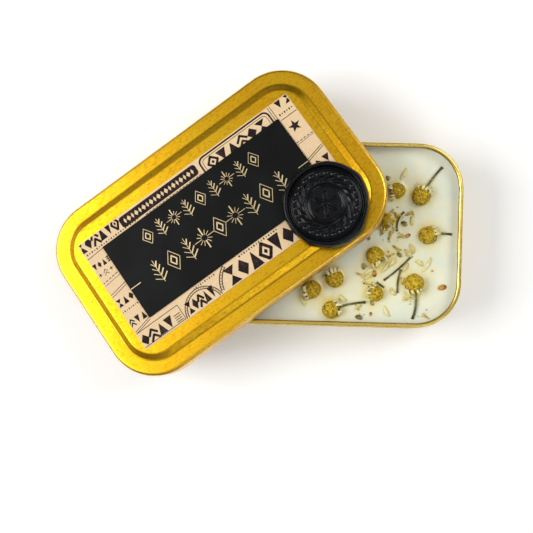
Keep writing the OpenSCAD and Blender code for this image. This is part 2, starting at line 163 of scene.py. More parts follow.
class Mesh:
    """Points, faces and one value per point, gathered piece by piece."""

    def __init__(self):
        self.points = []
        self.faces = []
        self.tones = []
        self.count = 0

    def add(self, points, faces, tone=0.5):
        points = np.asarray(points, float)
        self.points.append(points)
        self.faces += [[i + self.count for i in face] for face in faces]
        self.tones.append(np.broadcast_to(np.asarray(tone, float), len(points)).copy())
        self.count += len(points)

    def make(self, name, place, body, slot, nodes, material, sharp=None):
        points = np.concatenate(self.points)
        mesh = bpy.data.meshes.new(name)
        mesh.from_pydata((place.world(points) * MM).tolist(), [], self.faces)
        add_attribute(mesh, "place", "FLOAT_VECTOR", points)
        add_attribute(mesh, "tone", "FLOAT", np.concatenate(self.tones))
        face_outwards(mesh)
        mesh.shade_smooth()
        if sharp is not None:
            mesh.set_sharp_from_angle(angle=math.radians(sharp))
        mesh.materials.append(material)
        piece = bpy.data.objects.new(name, mesh)
        bpy.context.scene.collection.objects.link(piece)
        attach(piece, body)
        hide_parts(*nodes)
        return piece


def add_attribute(mesh, name, kind, values):
    attribute = mesh.attributes.new(name, kind, "POINT")
    key = "vector" if kind == "FLOAT_VECTOR" else "value"
    attribute.data.foreach_set(key, np.asarray(values, np.float32).ravel())


def face_outwards(mesh):
    work = bmesh.new()
    work.from_mesh(mesh)
    bmesh.ops.recalc_face_normals(work, faces=work.faces)
    work.to_mesh(mesh)
    work.free()


def ring_faces(rings, around, closed=True):
    """Quads between rings of points, where each ring holds `around` of them."""
    faces = []
    last = around if closed else around - 1
    for k in range(rings - 1):
        for i in range(last):
            j = (i + 1) % around
            faces.append([k * around + i, k * around + j,
                          (k + 1) * around + j, (k + 1) * around + i])
    return faces


def tube_faces(rings, around):
    """Quads between closed rings of points, and a face over each end."""
    faces = ring_faces(rings, around)
    faces.append(list(range(around))[::-1])
    faces.append(list(range((rings - 1) * around, rings * around)))
    return faces


def grid_edge(rows, columns):
    """The points round the outside of a grid, in order."""
    edge = list(range(columns)) + [k * columns + columns - 1 for k in range(1, rows)]
    edge += [(rows - 1) * columns + i for i in range(columns - 2, -1, -1)]
    return edge + [k * columns for k in range(rows - 2, 0, -1)]


def doubled_faces(rows, columns):
    """The faces of a grid, of a second grid under it, and of the walls between them."""
    count = rows * columns
    faces = ring_faces(rows, columns, closed=False)
    faces += [[count + i for i in face[::-1]] for face in faces]
    edge = grid_edge(rows, columns)
    for a, b in zip(edge, edge[1:] + edge[:1]):
        faces.append([b, a, count + a, count + b])
    return faces


def turns(count):
    """Even angles round a circle."""
    return np.linspace(0, 2 * math.pi, count, endpoint=False)


def unit(vector):
    return vector / np.linalg.norm(vector)


def left_of(direction):
    """The flat direction a quarter turn anticlockwise of another."""
    return np.array([-direction[1], direction[0]])


def smooth_step(t):
    t = np.clip(t, 0, 1)
    return t * t * (3 - 2 * t)


def eased(t, ends=0.16):
    """From 0 to 1 at an even rate, with a short bend at each end."""
    t = np.clip(t, 0, 1)
    inner = np.clip(t, ends, 1 - ends)
    start = np.minimum(t, ends) ** 2 / (2 * ends)
    close = ends / 2 - (1 - np.maximum(t, 1 - ends)) ** 2 / (2 * ends)
    return (start + inner - ends + close) / (1 - ends)


def arc(centre, radius, start, end, steps):
    turn = np.radians(np.linspace(start, end, steps))
    return [(centre[0] + radius * math.cos(a), centre[1] + radius * math.sin(a)) for a in turn]


def rounded_outline(length, width, radius, corner_steps=24, spacing=1.5):
    """Points round a rounded rectangle and their outward normals."""
    points, normals = [], []
    corners = [(1, 1, 0), (-1, 1, 90), (-1, -1, 180), (1, -1, 270)]
    for q, (sx, sy, start) in enumerate(corners):
        centre = np.array([sx * (length / 2 - radius), sy * (width / 2 - radius)])
        for a in np.radians(np.linspace(start, start + 90, corner_steps)):
            normal = np.array([math.cos(a), math.sin(a)])
            points.append(centre + radius * normal)
            normals.append(normal)
        run = length - 2 * radius if q % 2 == 0 else width - 2 * radius
        steps = max(2, int(run / spacing))
        along = np.array([-normals[-1][1], normals[-1][0]])
        for k in range(1, steps):
            points.append(centre + radius * normals[-1 - (k - 1)] + along * run * k / steps)
            normals.append(normals[-1])
    return np.array(points), np.array(normals)


def swept_shell(mesh, profile, length, width, radius, tone_at):
    """Carries a profile round a rounded rectangle and closes both its ends."""
    points, normals = rounded_outline(length, width, radius)
    around = len(points)
    rings = [np.column_stack([points + normals * x, np.full(around, z)]) for x, z in profile]
    tones = [tone_at(x, z) for x, z in profile]
    mesh.add(np.concatenate(rings), tube_faces(len(profile), around), np.repeat(tones, around))


def tube(mesh, line, radii, sides=10, ribs=0, rib_depth=0.0, tone=0.5, flat=1.0):
    """A closed tube along a line of points, with ribs along it."""
    line = np.asarray(line, float)
    radii = np.asarray(radii, float)
    along = np.gradient(line, axis=0)
    along /= np.linalg.norm(along, axis=1)[:, None]
    side = np.cross(along, [0, 0, 1.0])
    short = np.linalg.norm(side, axis=1) < 1e-3
    side[short] = [1.0, 0, 0]
    side /= np.linalg.norm(side, axis=1)[:, None]
    up = np.cross(side, along)
    turn = turns(sides)
    depth = np.broadcast_to(rib_depth, len(line))
    points = []
    for k in range(len(line)):
        reach = radii[k] * (1 + depth[k] * np.cos(ribs * turn))
        points.append(line[k] + np.outer(reach * np.cos(turn), side[k])
                      + np.outer(reach * np.sin(turn) * flat, up[k]))
    mesh.add(np.concatenate(points), tube_faces(len(line), sides),
             np.repeat(np.broadcast_to(tone, len(line)), sides))


def ribbon(mesh, line, side, widths, thickness, cup=0.0, tone=0.5, across=5):
    """A thin closed strip along a line of points, cupped across its width."""
    line = np.asarray(line, float)
    side = np.broadcast_to(np.asarray(side, float), line.shape)
    along = np.gradient(line, axis=0)
    up = np.cross(side, along)
    up = up / np.linalg.norm(up, axis=1)[:, None]
    spread = np.linspace(-0.5, 0.5, across)
    top, bottom = [], []
    for k in range(len(line)):
        bend = cup * widths[k] * (4 * spread ** 2 - 1)
        row = line[k] + np.outer(spread * widths[k], side[k]) + np.outer(bend, up[k])
        top.append(row + up[k] * thickness / 2)
        bottom.append((row - up[k] * thickness / 2)[::-1])
    rings = np.concatenate([np.concatenate([t, b]) for t, b in zip(top, bottom)])
    around = 2 * across
    mesh.add(rings, tube_faces(len(line), around),
             np.repeat(np.broadcast_to(tone, len(line)), around))


# ---------------------------------------------------------------- material nodes

def node(tree, kind, inputs=None, **settings):
    """Adds a node, sets it up, and links or fills in its inputs."""
    made = tree.nodes.new("ShaderNode" + kind)
    for key, value in settings.items():
        setattr(made, key, value)
    for key, value in (inputs or {}).items():
        if isinstance(value, bpy.types.NodeSocket):
            tree.links.new(value, made.inputs[key])
        else:
            made.inputs[key].default_value = value
    return made


def new_material(name, **sockets):
    material = bpy.data.materials.new(name)
    material.use_nodes = True
    tree = material.node_tree
    shader = tree.nodes["Principled BSDF"]
    for key, value in sockets.items():
        shader.inputs[key.replace("_", " ")].default_value = value
    return material, tree, shader


def place_of(tree):
    """The point in its piece's own frame, in millimetres."""
    return node(tree, "Attribute", attribute_name="place").outputs["Vector"]


def tone_of(tree):
    return node(tree, "Attribute", attribute_name="tone").outputs["Fac"]


def stretched(tree, vector, scale):
    return node(tree, "Mapping", {"Vector": vector, "Scale": scale}).outputs["Vector"]


def noise(tree, vector, size, detail=3.0, roughness=0.55, distortion=0.0):
    return node(tree, "TexNoise", {
        "Vector": vector, "Scale": 1 / size, "Detail": detail,
        "Roughness": roughness, "Distortion": distortion,
    }).outputs["Fac"]


def ramp(tree, value, stops):
    made = node(tree, "ValToRGB", {"Fac": value})
    stripe = made.color_ramp.elements
    while len(stripe) < len(stops):
        stripe.new(0.5)
    for element, (position, colour) in zip(stripe, stops):
        element.position = position
        element.color = (*colour, 1)
    return made.outputs["Color"]


def fade(tree, value, low, high, start=0.0, end=1.0):
    return node(tree, "MapRange", {
        "Value": value, "From Min": low, "From Max": high, "To Min": start, "To Max": end,
    }).outputs["Result"]


def maths(tree, operation, a, b):
    return node(tree, "Math", {0: a, 1: b}, operation=operation).outputs["Value"]


def mixed(tree, amount, a, b):
    made = node(tree, "Mix", {0: amount}, data_type="RGBA")
    for index, colour in ((6, a), (7, b)):
        if isinstance(colour, bpy.types.NodeSocket):
            tree.links.new(colour, made.inputs[index])
        else:
            made.inputs[index].default_value = (*colour, 1)
    return made.outputs[2]


def bumped(tree, height, distance, strength=1.0, normal=None):
    """Bump of a height from 0 to 1 that stands for that many millimetres."""
    inputs = {"Height": height, "Distance": distance * MM, "Strength": strength}
    if normal is not None:
        inputs["Normal"] = normal
    return node(tree, "Bump", inputs).outputs["Normal"]


def wire(tree, shader, colour=None, roughness=None, normal=None):
    for key, value in (("Base Color", colour), ("Roughness", roughness), ("Normal", normal)):
        if value is not None:
            tree.links.new(value, shader.inputs[key])


# ---------------------------------------------------------------- materials

def gold_lacquer(name, bright, deep, base_roughness, grain):
    """Gold-lacquered tinplate: a speckled grain along X under a clear lacquer, worn bends, and painted
    shade in its grooves where the tone runs below zero.
    """
    material, tree, shader = new_material(
        name, Metallic=1.0, Coat_Weight=0.25, Coat_Roughness=0.18, Coat_IOR=1.5)
    place = place_of(tree)
    along = stretched(tree, place, (0.5, 1.0, 1.0))
    fine = noise(tree, along, 0.30, 3.0, 0.7)
    flecks = noise(tree, along, 0.85, 4.0, 0.75)
    cloud = noise(tree, place, 16.0, 3.0, 0.5, 0.4)
    colour = mixed(tree, fade(tree, cloud, 0.3, 0.7), bright, deep)
    dark = tuple(c * 0.42 for c in deep)
    colour = mixed(tree, fade(tree, flecks, 0.50, 0.72, 0, 0.75), colour, dark)
    pale = tuple(min(1.0, c * 1.2) for c in bright)
    colour = mixed(tree, fade(tree, flecks, 0.50, 0.32, 0, 0.65), colour, pale)
    worn = maths(tree, "MULTIPLY", tone_of(tree), fade(tree, fine, 0.45, 0.65, 0.2, 0.7))
    colour = mixed(tree, worn, colour, (0.88, 0.72, 0.30))
    # Painted shade: where the tone runs below zero, in the grooves and bends, the colour darkens
    # towards dark olive.
    painted_crease_shade = maths(tree, "ADD", fade(tree, tone_of(tree), -0.1, -0.9, 0, 0.85),
                   fade(tree, fine, 0.3, 0.7, -0.1, 0.1))
    colour = mixed(tree, painted_crease_shade, colour, (0.13, 0.08, 0.006))
    rough = maths(tree, "ADD", fade(tree, flecks, 0.35, 0.65, 0, 0.14),
                  fade(tree, cloud, 0.3, 0.7, base_roughness, base_roughness + 0.05))
    waves = bumped(tree, noise(tree, place, 9.0, 1.0), 0.10, 0.5)
    speckle = bumped(tree, flecks, grain, 0.8, waves)
    wire(tree, shader, colour, rough, bumped(tree, fine, grain * 0.5, 0.8, speckle))
    return material


def soy_wax():
    """Cool cream wax, stained yellow near the flowers, with faint frosting."""
    material, tree, shader = new_material(
        "soy_wax", Subsurface_Weight=0.25, Subsurface_Radius=(1.0, 0.75, 0.45),
        Subsurface_Scale=0.0012, Specular_IOR_Level=0.4, Coat_Weight=0.5, Coat_Roughness=0.1)
    place = place_of(tree)
    cloud = noise(tree, place, 11.0, 3.0, 0.55, 0.6)
    colour = mixed(tree, fade(tree, cloud, 0.35, 0.7), (0.80, 0.85, 0.71), (0.90, 0.90, 0.72))
    patch = noise(tree, place, 3.5, 4.0, 0.6, 0.3)
    stain = maths(tree, "MULTIPLY", tone_of(tree), fade(tree, patch, 0.3, 0.62, 0.5, 1.4))
    colour = mixed(tree, stain, colour, (0.80, 0.66, 0.16))
    frost = noise(tree, place, 0.8, 5.0, 0.65)
    rough = fade(tree, frost, 0.3, 0.7, 0.3, 0.46)
    relief = bumped(tree, noise(tree, place, 2.4, 3.0, 0.5), 0.10, 0.5)
    wire(tree, shader, colour, rough, bumped(tree, frost, 0.015, 0.5, relief))
    return material


def dried(name, dark, middle, light, size, depth, roughness=0.75, sheer=0.0, spread=0.3):
    """Dried plant matter: the tone value runs from dark to light; on the flower domes its dark end is
    painted shade between the florets and under the dome, on the other pieces it is their own colour.
    """
    material, tree, shader = new_material(name, Specular_IOR_Level=0.3)
    if sheer:
        shader.inputs["Subsurface Weight"].default_value = sheer
        shader.inputs["Subsurface Radius"].default_value = (1.0, 0.8, 0.3)
        shader.inputs["Subsurface Scale"].default_value = 0.0005
    place = place_of(tree)
    blotch = noise(tree, place, size * 4, 3.0, 0.6)
    fine = noise(tree, place, size, 4.0, 0.65)
    shift = maths(tree, "ADD", tone_of(tree), fade(tree, blotch, 0.3, 0.7, -spread, spread))
    shift = maths(tree, "ADD", shift, fade(tree, fine, 0.3, 0.7, -0.12, 0.12))
    colour = ramp(tree, shift, [(0.05, dark), (0.5, middle), (0.95, light)])
    rough = fade(tree, fine, 0.3, 0.7, roughness - 0.12, roughness + 0.1)
    wire(tree, shader, colour, rough, bumped(tree, fine, depth, 0.8))
    return material


def kraft_paper():
    """Kraft paper: warm fibre mottling and small flecks."""
    material, tree, shader = new_material("kraft_paper", Specular_IOR_Level=0.25)
    place = place_of(tree)
    fibres = noise(tree, stretched(tree, place, (0.35, 1.0, 1.0)), 0.30, 4.0, 0.7, 0.8)
    cloud = noise(tree, place, 4.0, 3.0)
    flecks = noise(tree, stretched(tree, place, (0.5, 1.4, 1.0)), 0.5, 2.0, 0.5, 1.5)
    colour = mixed(tree, fade(tree, fibres, 0.3, 0.7), (0.72, 0.50, 0.27), (0.86, 0.67, 0.43))
    colour = mixed(tree, fade(tree, cloud, 0.35, 0.7, 0, 0.35), colour, (0.80, 0.56, 0.38))
    colour = mixed(tree, fade(tree, flecks, 0.64, 0.74, 0, 0.45), colour, (0.36, 0.21, 0.10))
    wire(tree, shader, colour, fade(tree, fibres, 0.3, 0.7, 0.72, 0.9),
         bumped(tree, fibres, 0.02, 0.7))
    return material


def printing_ink():
    """Black-brown ink, worn through to the paper in fine specks."""
    material, tree, shader = new_material("printing_ink", Specular_IOR_Level=0.15)
    place = place_of(tree)
    specks = noise(tree, place, 0.28, 4.0, 0.75)
    cloud = noise(tree, place, 2.5, 2.0)
    wear = maths(tree, "ADD", specks, fade(tree, cloud, 0.3, 0.7, -0.06, 0.06))
    ink = mixed(tree, fade(tree, cloud, 0.3, 0.7), (0.008, 0.005, 0.006), (0.028, 0.014, 0.012))
    colour = mixed(tree, fade(tree, wear, 0.64, 0.72, 0, 0.8), ink, (0.60, 0.42, 0.25))
    wire(tree, shader, colour, fade(tree, specks, 0.3, 0.7, 0.55, 0.8),
         bumped(tree, specks, 0.012, 0.6))
    return material


def black_card():
    """Smooth black card with a fine tooth and a few pale fibres."""
    material, tree, shader = new_material("black_card", Specular_IOR_Level=0.12)
    place = place_of(tree)
    tooth = noise(tree, place, 0.18, 4.0, 0.7)
    cloud = noise(tree, place, 12.0, 2.0)
    hairs = noise(tree, stretched(tree, place, (0.5, 2.2, 1.0)), 0.6, 3.0, 0.6, 2.0)
    colour = mixed(tree, fade(tree, cloud, 0.3, 0.7), (0.0025, 0.0022, 0.002), (0.005, 0.006, 0.006))
    colour = mixed(tree, fade(tree, tooth, 0.62, 0.8, 0, 0.3), colour, (0.03, 0.03, 0.03))
    colour = mixed(tree, fade(tree, hairs, 0.68, 0.78, 0, 0.3), colour, (0.05, 0.045, 0.04))
    wire(tree, shader, colour, fade(tree, tooth, 0.3, 0.7, 0.42, 0.6),
         bumped(tree, tooth, 0.015, 0.8))
    return material


def champagne_foil():
    """Hot-stamped foil that has pressed into the card's tooth."""
    material, tree, shader = new_material("champagne_foil", Metallic=1.0)
    place = place_of(tree)
    tooth = noise(tree, place, 0.16, 4.0, 0.7)
    cloud = noise(tree, place, 5.0, 2.0)
    colour = mixed(tree, fade(tree, cloud, 0.3, 0.7), (0.78, 0.64, 0.38), (0.60, 0.46, 0.25))
    colour = mixed(tree, fade(tree, tooth, 0.60, 0.72, 0, 0.7), colour, (0.12, 0.09, 0.05))
    wire(tree, shader, colour, fade(tree, tooth, 0.3, 0.7, 0.38, 0.6),
         bumped(tree, tooth, 0.02, 0.8))
    return material


def sealing_wax():
    """Glossy black sealing wax with a fine orange peel and dull rubbed spots."""
    material, tree, shader = new_material("black_sealing_wax", Specular_IOR_Level=0.24)
    place = place_of(tree)
    peel = noise(tree, place, 1.1, 3.0, 0.6)
    fine = noise(tree, place, 0.3, 3.0, 0.6)
    cloud = noise(tree, place, 3.0, 2.0)
    colour = mixed(tree, fade(tree, cloud, 0.3, 0.7), (0.0015, 0.0015, 0.0018), (0.003, 0.004, 0.006))
    rough = maths(tree, "ADD", fade(tree, cloud, 0.3, 0.7, 0.10, 0.20),
                  fade(tree, fine, 0.4, 0.7, 0, 0.08))
    relief = bumped(tree, peel, 0.07, 0.8)
    wire(tree, shader, colour, rough, bumped(tree, fine, 0.01, 0.7, relief))
    return material


def clear_adhesive():
    """Milky adhesive, seen only as a thin edge."""
    material, tree, shader = new_material(
        "clear_adhesive", Transmission_Weight=0.3, Specular_IOR_Level=0.4)
    place = node(tree, "TexCoord").outputs["Object"]
    bubbles = noise(tree, place, 0.6 * MM, 3.0, 0.6)
    colour = mixed(tree, fade(tree, bubbles, 0.4, 0.7), (0.80, 0.78, 0.70), (0.62, 0.60, 0.52))
    wire(tree, shader, colour, fade(tree, bubbles, 0.3, 0.7, 0.3, 0.55),
         bumped(tree, bubbles, 0.02, 0.5))
    return material


def floor_white():
    """Matt white paper, with a faint glow of its own that keeps its shadows pale."""
    material, tree, shader = new_material(
        "studio_floor", Specular_IOR_Level=0.1, Emission_Strength=0.16,
        Emission_Color=(1.0, 1.0, 1.0, 1.0))
    place = node(tree, "TexCoord").outputs["Object"]
    cloud = noise(tree, place, 0.15, 2.0)
    colour = mixed(tree, cloud, (0.90, 0.90, 0.90), (0.93, 0.93, 0.925))
    wire(tree, shader, colour, fade(tree, cloud, 0.3, 0.7, 0.8, 0.9))
    return material


# ---------------------------------------------------------------- tin

def lid_profile(skirt_h):
    """The lid's section from the panel's top, round the skirt, to the panel's underside."""
    inset = BORDER_W + SLOPE_W
    steps = np.linspace(0, 1, 26)
    slope = [(-inset + t * SLOPE_W, PANEL_H * (1 - eased(t))) for t in steps]
    under = [(x, z - SHEET) for x, z in slope][::-1]
    hem = (-HEM_R, HEM_R - skirt_h)
    bend = (-LID_EDGE_R, -LID_EDGE_R)
    profile = [(-inset - 1.5, PANEL_H), (-inset - 0.4, PANEL_H)] + slope
    profile += [(-BORDER_W + 0.5, 0), (-LID_EDGE_R - 0.6, 0)]
    profile += arc(bend, LID_EDGE_R, 90, 0, 10)
    profile += [(0, -LID_EDGE_R - 0.5), (0, -skirt_h + HEM_R + 0.4)]
    profile += arc(hem, HEM_R, 0, -215, 16)
    profile += arc(hem, HEM_R - SHEET, -215, 0, 12)
    profile += [(-SHEET, -LID_EDGE_R)]
    profile += arc(bend, LID_EDGE_R - SHEET, 0, 90, 8)
    return profile + under + [(-inset - 1.5, PANEL_H - SHEET)]


def base_profile(height):
    """The base's section from its floor, up and round the curl, to its underside."""
    foot = (-FOOT_R, FOOT_R)
    shoulder_z = height - SHOULDER_DROP
    shoulder = (-SHOULDER_R, shoulder_z - SHOULDER_R)
    neck = -NECK_STEP
    curl = (neck - CURL_R, height - CURL_R)
    profile = [(-FOOT_R - 1.5, SHEET)]
    profile += arc(foot, FOOT_R - SHEET, -90, 0, 8)
    profile += arc(shoulder, SHOULDER_R - SHEET, 0, 90, 5)
    profile += [(neck - SHEET, shoulder_z - SHEET)]
    profile += arc(curl, CURL_R - SHEET, 0, 235, 20)
    profile += arc(curl, CURL_R, 235, 0, 26)
    profile += arc((neck + 0.25, shoulder_z + 0.25), 0.25, 180, 270, 5)
    profile += arc(shoulder, SHOULDER_R, 90, 0, 8)
    profile += [(0, shoulder_z - SHOULDER_R - 0.5), (0, FOOT_R + 0.5)]
    return profile + arc(foot, FOOT_R, 0, -90, 10) + [(-FOOT_R - 1.5, 0)]


def near(value, middle, reach):
    return max(0.0, 1 - abs(value - middle) / reach)


def lid_tone(x, z, skirt_h):
    """From 1 on the worn bends to -1 in the creases, where shade is painted into the colour."""
    worn = max(near(z, -0.5, 0.7) * (x > -1.0), near(z, -skirt_h, 0.8))
    # Painted shade: at the foot and the top of the slope and on the skirt just above the hem.
    foot = near(x, -BORDER_W, 0.45)
    top = near(x, -BORDER_W - SLOPE_W, 0.35)
    above_hem_shade = near(z, -skirt_h + 2 * HEM_R + 0.5, 0.6)
    return worn - max(0.75 * foot, 0.5 * top, 0.8 * above_hem_shade)


def base_tone(x, z, height):
    """From 1 on the worn bends to -1 in the groove below the curl and along its inside, where shade is
    painted into the colour.
    """
    shoulder_z = height - SHOULDER_DROP
    worn = max(near(z, height, 0.6), near(z, shoulder_z, 0.6) * (x > -0.5), near(z, 0.0, 0.8))
    # Painted shade: in the groove below the curl and on the curl's inner side.
    groove = 1.0 if shoulder_z + 0.3 < z < height - CURL_R - 0.05 and x > -NECK_STEP - 0.1 else 0.0
    inside = near(x, -NECK_STEP - 2 * CURL_R, 0.45)
    return worn - max(0.9 * groove, inside)


def build_lid():
    low, high = extent("lid_shell", lid)
    skirt_h = -low[2]
    mesh = Mesh()
    swept_shell(mesh, lid_profile(skirt_h), high[0] - low[0], high[1] - low[1], LID_R,
                lambda x, z: lid_tone(x, z, skirt_h))
    gold = gold_lacquer("gold_tinplate_lid", (0.92, 0.53, 0.012), (0.80, 0.40, 0.005), 0.24, 0.04)
    mesh.make("tin_lid", lid, "lid", "gold_tinplate_lid", ["lid_shell"], gold, TIN_SHARP)


def build_base():
    low, high = row_box("tin_base")
    mesh = Mesh()
    swept_shell(mesh, base_profile(high[2]), high[0] - low[0], high[1] - low[1], BODY_R,
                lambda x, z: base_tone(x, z, high[2]))
    gold = gold_lacquer("gold_tinplate_base", (0.92, 0.66, 0.13), (0.78, 0.52, 0.06), 0.22, 0.02)
    mesh.make("tin_tray", WORLD, "base", "gold_tinplate_base", ["tin_base"], gold, TIN_SHARP)


# ---------------------------------------------------------------- flowers

WAX_Z = row_box("wax_fill")[1][2]


def read_heads():
    """Each head's middle, diameter and heading, from its dome and the calyx behind it."""
    calyxes = [c.mean(0)[:2] for c in islands("chamomile_calyxes")]
    heads = []
    for points in islands("chamomile_heads"):
        size = (points[:, 2].max() - WAX_Z) / (0.5 + HEAD_RISE)
        middle = points.mean(0)[:2]
        behind = min(calyxes, key=lambda c: np.linalg.norm(c - middle))
        heading = unit(middle - behind)
        across = left_of(heading)
        front = (points[:, :2] @ heading).max() - size / 2
        sides = points[:, :2] @ across
        centre = heading * front + across * (sides.max() + sides.min()) / 2
        heads.append((np.array([*centre, WAX_Z + HEAD_RISE * size]), size, heading))
    return heads


def head_frame(centre, heading, tilt=HEAD_TILT):
    """Frame of a lying head: Z runs out through its dome."""
    axis = np.array([*(heading * math.cos(tilt)), math.sin(tilt)])
    side = np.array([-heading[1], heading[0], 0.0])
    return Place(centre, [np.cross(side, axis), side, axis])


def path_of(points, steps=9, height=0.0):
    """The gently bent middle line of a long thin solid that lies on the wax."""
    flat = points[:, :2]
    middle = flat.mean(0)
    axis = np.linalg.svd(flat - middle)[2][0]
    across = left_of(axis)
    along = (flat - middle) @ axis
    offset = (flat - middle) @ across
    bend = np.polyfit(along, offset, 2)
    t = np.linspace(along.min(), along.max(), steps)
    line = middle + np.outer(t, axis) + np.outer(np.polyval(bend, t), across)
    width = offset.max() - offset.min()
    return np.column_stack([line, np.full(steps, WAX_Z + height)]), width


def dome_points(size, rows, columns, florets, reach, depth, jitter):
    """A pitted dome round Z: its points and their tones."""
    down = 1 - (1 - math.cos(reach)) * (np.arange(florets) + 0.5) / florets
    turn = np.arange(florets) * GOLDEN_ANGLE
    out = np.sqrt(1 - down ** 2)
    centres = np.column_stack([out * np.cos(turn), out * np.sin(turn), down])
    heights = rng.normal(0, 1, florets)
    tree = kdtree.KDTree(florets)
    for i, c in enumerate(centres):
        tree.insert(c, i)
    tree.balance()
    spacing = math.sqrt(2 * math.pi * (1 - math.cos(reach)) / florets)
    points, tones = [], []
    for polar in np.linspace(0.03, reach, rows):
        for a in turns(columns):
            ray = np.array([math.sin(polar) * math.cos(a), math.sin(polar) * math.sin(a),
                            math.cos(polar)])
            (_, first, d1), (_, _, d2) = tree.find_n(ray, 2)
            pillow = min(1.0, (d2 - d1) / spacing) ** 0.6
            lift = depth * (pillow - 0.6) + jitter * heights[first] * pillow
            cone = 1.0 - 0.05 * ray[2]
            shape = np.array([cone, cone, 1.0])
            points.append(ray * shape * (size / 2 + lift))
            # Painted shade: the tone darkens into the crevices between florets; the per-floret term is
            # their own colour.
            tones.append(0.15 + 0.62 * pillow + 0.07 * heights[first])
    return np.array(points), np.array(tones)


def add_dome(mesh, frame_at, size):
    rows, columns = 58, 104
    reach = math.acos(-0.44)
    points, tones = dome_points(size, rows, columns, 240, reach, 0.30, 0.07)
    points[:, 0] *= 1 + rng.uniform(-0.04, 0.04)
    points[:, 1] *= 1 + rng.uniform(-0.04, 0.04)
    # Painted shade: the dome's tone darkens towards the wax, under the head.
    painted_underside_shade = 0.35 * np.clip((WAX_Z + 1.2 - frame_at.world(points)[:, 2]) / 1.2, 0, 1)
    mesh.add(frame_at.world(points), tube_faces(rows, columns), tones - painted_underside_shade)


def add_calyx(cup, petals, frame_at, size):
    """The green cup with its two rows of bracts, and the cream stubs of the ray petals."""
    collar = -0.22 * size
    heights = np.linspace(0, 1, 9)
    line = np.column_stack([np.zeros(9), np.zeros(9), collar + 0.1 - heights * 0.26 * size])
    radii = size * (0.12 + 0.31 * np.sqrt(np.clip(1 - heights ** 2.2, 0, 1)))
    tube_in_frame(cup, frame_at, line, radii, 26, 13, 0.05, 0.25 + 0.25 * heights)
    for row, count in enumerate((13, 11)):
        for k in range(count):
            turn = 2 * math.pi * (k + 0.5 * row + rng.uniform(-0.15, 0.15)) / count
            scale_bract(cup, frame_at, turn, collar, size, row)
    for k in range(14):
        turn = 2 * math.pi * (k + rng.uniform(-0.25, 0.25)) / 14
        if rng.random() < 0.78:
            petal_stub(petals, frame_at, turn, collar, size)


def tube_in_frame(mesh, frame_at, line, radii, sides, ribs, depth, tone):
    """A closed ribbed body of revolution round the frame's Z."""
    turn = turns(sides)
    reach = 1 + depth * np.cos(ribs * turn)
    rings = [np.column_stack([r * reach * np.cos(turn), r * reach * np.sin(turn),
                              np.full(sides, p[2])]) for p, r in zip(line, radii)]
    mesh.add(frame_at.world(np.concatenate(rings)), tube_faces(len(line), sides),
             np.repeat(tone, sides))


def around_axis(turn, radius, height):
    return np.array([radius * math.cos(turn), radius * math.sin(turn), height])


def scale_bract(mesh, frame_at, turn, collar, size, row):
    """One bract that hugs the cup, with its papery tip just proud of the collar."""
    share = np.linspace(0, 1, 7)
    heights = collar - 0.20 * size + share * (0.25 - 0.06 * row) * size
    radii = size * (0.25 + 0.20 * np.sqrt(share)) + 0.10 + 0.08 * row
    line = [around_axis(turn, r, z) for r, z in zip(radii, heights)]
    side = np.array([-math.sin(turn), math.cos(turn), 0.0])
    widths = 0.17 * size * np.sin(math.pi * (0.18 + 0.74 * share)) ** 0.8
    tone = 0.35 + 0.55 * share ** 2 + rng.uniform(-0.12, 0.12)
    points = frame_at.world(line)
    ribbon(mesh, points, side @ frame_at.axes, widths, 0.12, 0.12, tone)


def petal_stub(mesh, frame_at, turn, collar, size):
    """A withered ray petal, folded back along the cup and torn short."""
    share = np.linspace(0, 1, 8)
    length = rng.uniform(0.9, 2.3) * size / 6.2
    flare = rng.uniform(0.0, 0.35)
    heights = collar + 0.25 - share * length
    radii = size * 0.46 + 0.12 + length * (0.10 * np.sin(math.pi * share) + flare * share ** 2)
    sway = rng.uniform(-0.25, 0.25) * share ** 2
    line = [around_axis(turn + s, r, z) for r, z, s in zip(radii, heights, sway)]
    side = np.array([-math.sin(turn), math.cos(turn), 0.0])
    width = rng.uniform(0.8, 1.25) * size / 6.2
    widths = width * (0.55 + 0.45 * np.sin(math.pi * np.clip(share, 0, 0.85)))
    points = frame_at.world(line)
    ribbon(mesh, points, side @ frame_at.axes, widths, 0.12, rng.uniform(0.05, 0.22),
           0.55 + 0.35 * (1 - share) + rng.uniform(-0.15, 0.1))


def build_heads():
    domes, cups, stubs = Mesh(), Mesh(), Mesh()
    heads = read_heads()
    for centre, size, heading in heads:
        frame_at = head_frame(centre, heading)
        add_dome(domes, frame_at, size)
        add_calyx(cups, stubs, frame_at, size)
    yellow = dried("chamomile_yellow", (0.085, 0.030, 0.002), (0.60, 0.39, 0.012),
                   (0.92, 0.72, 0.07), 0.22, 0.05, 0.65)
    green = dried("calyx_green", (0.02, 0.014, 0.004), (0.20, 0.17, 0.03),
                  (0.80, 0.74, 0.34), 0.3, 0.04, 0.65)
    domes.make("chamomile_domes", WORLD, "base", "chamomile_yellow", ["chamomile_heads"], yellow)
    cups.make("chamomile_cups", WORLD, "base", "calyx_green", ["chamomile_calyxes"], green)
    return heads, stubs, yellow


def stem_profile(steps, radius, knob):
    """Radii along a stem: a slight flare at the flower and a frayed thicker cut end."""
    share = np.linspace(0, 1, steps)
    return radius * (1 + 0.5 * np.exp(-share / 0.06) + knob * smooth_step((share - 0.85) / 0.15))


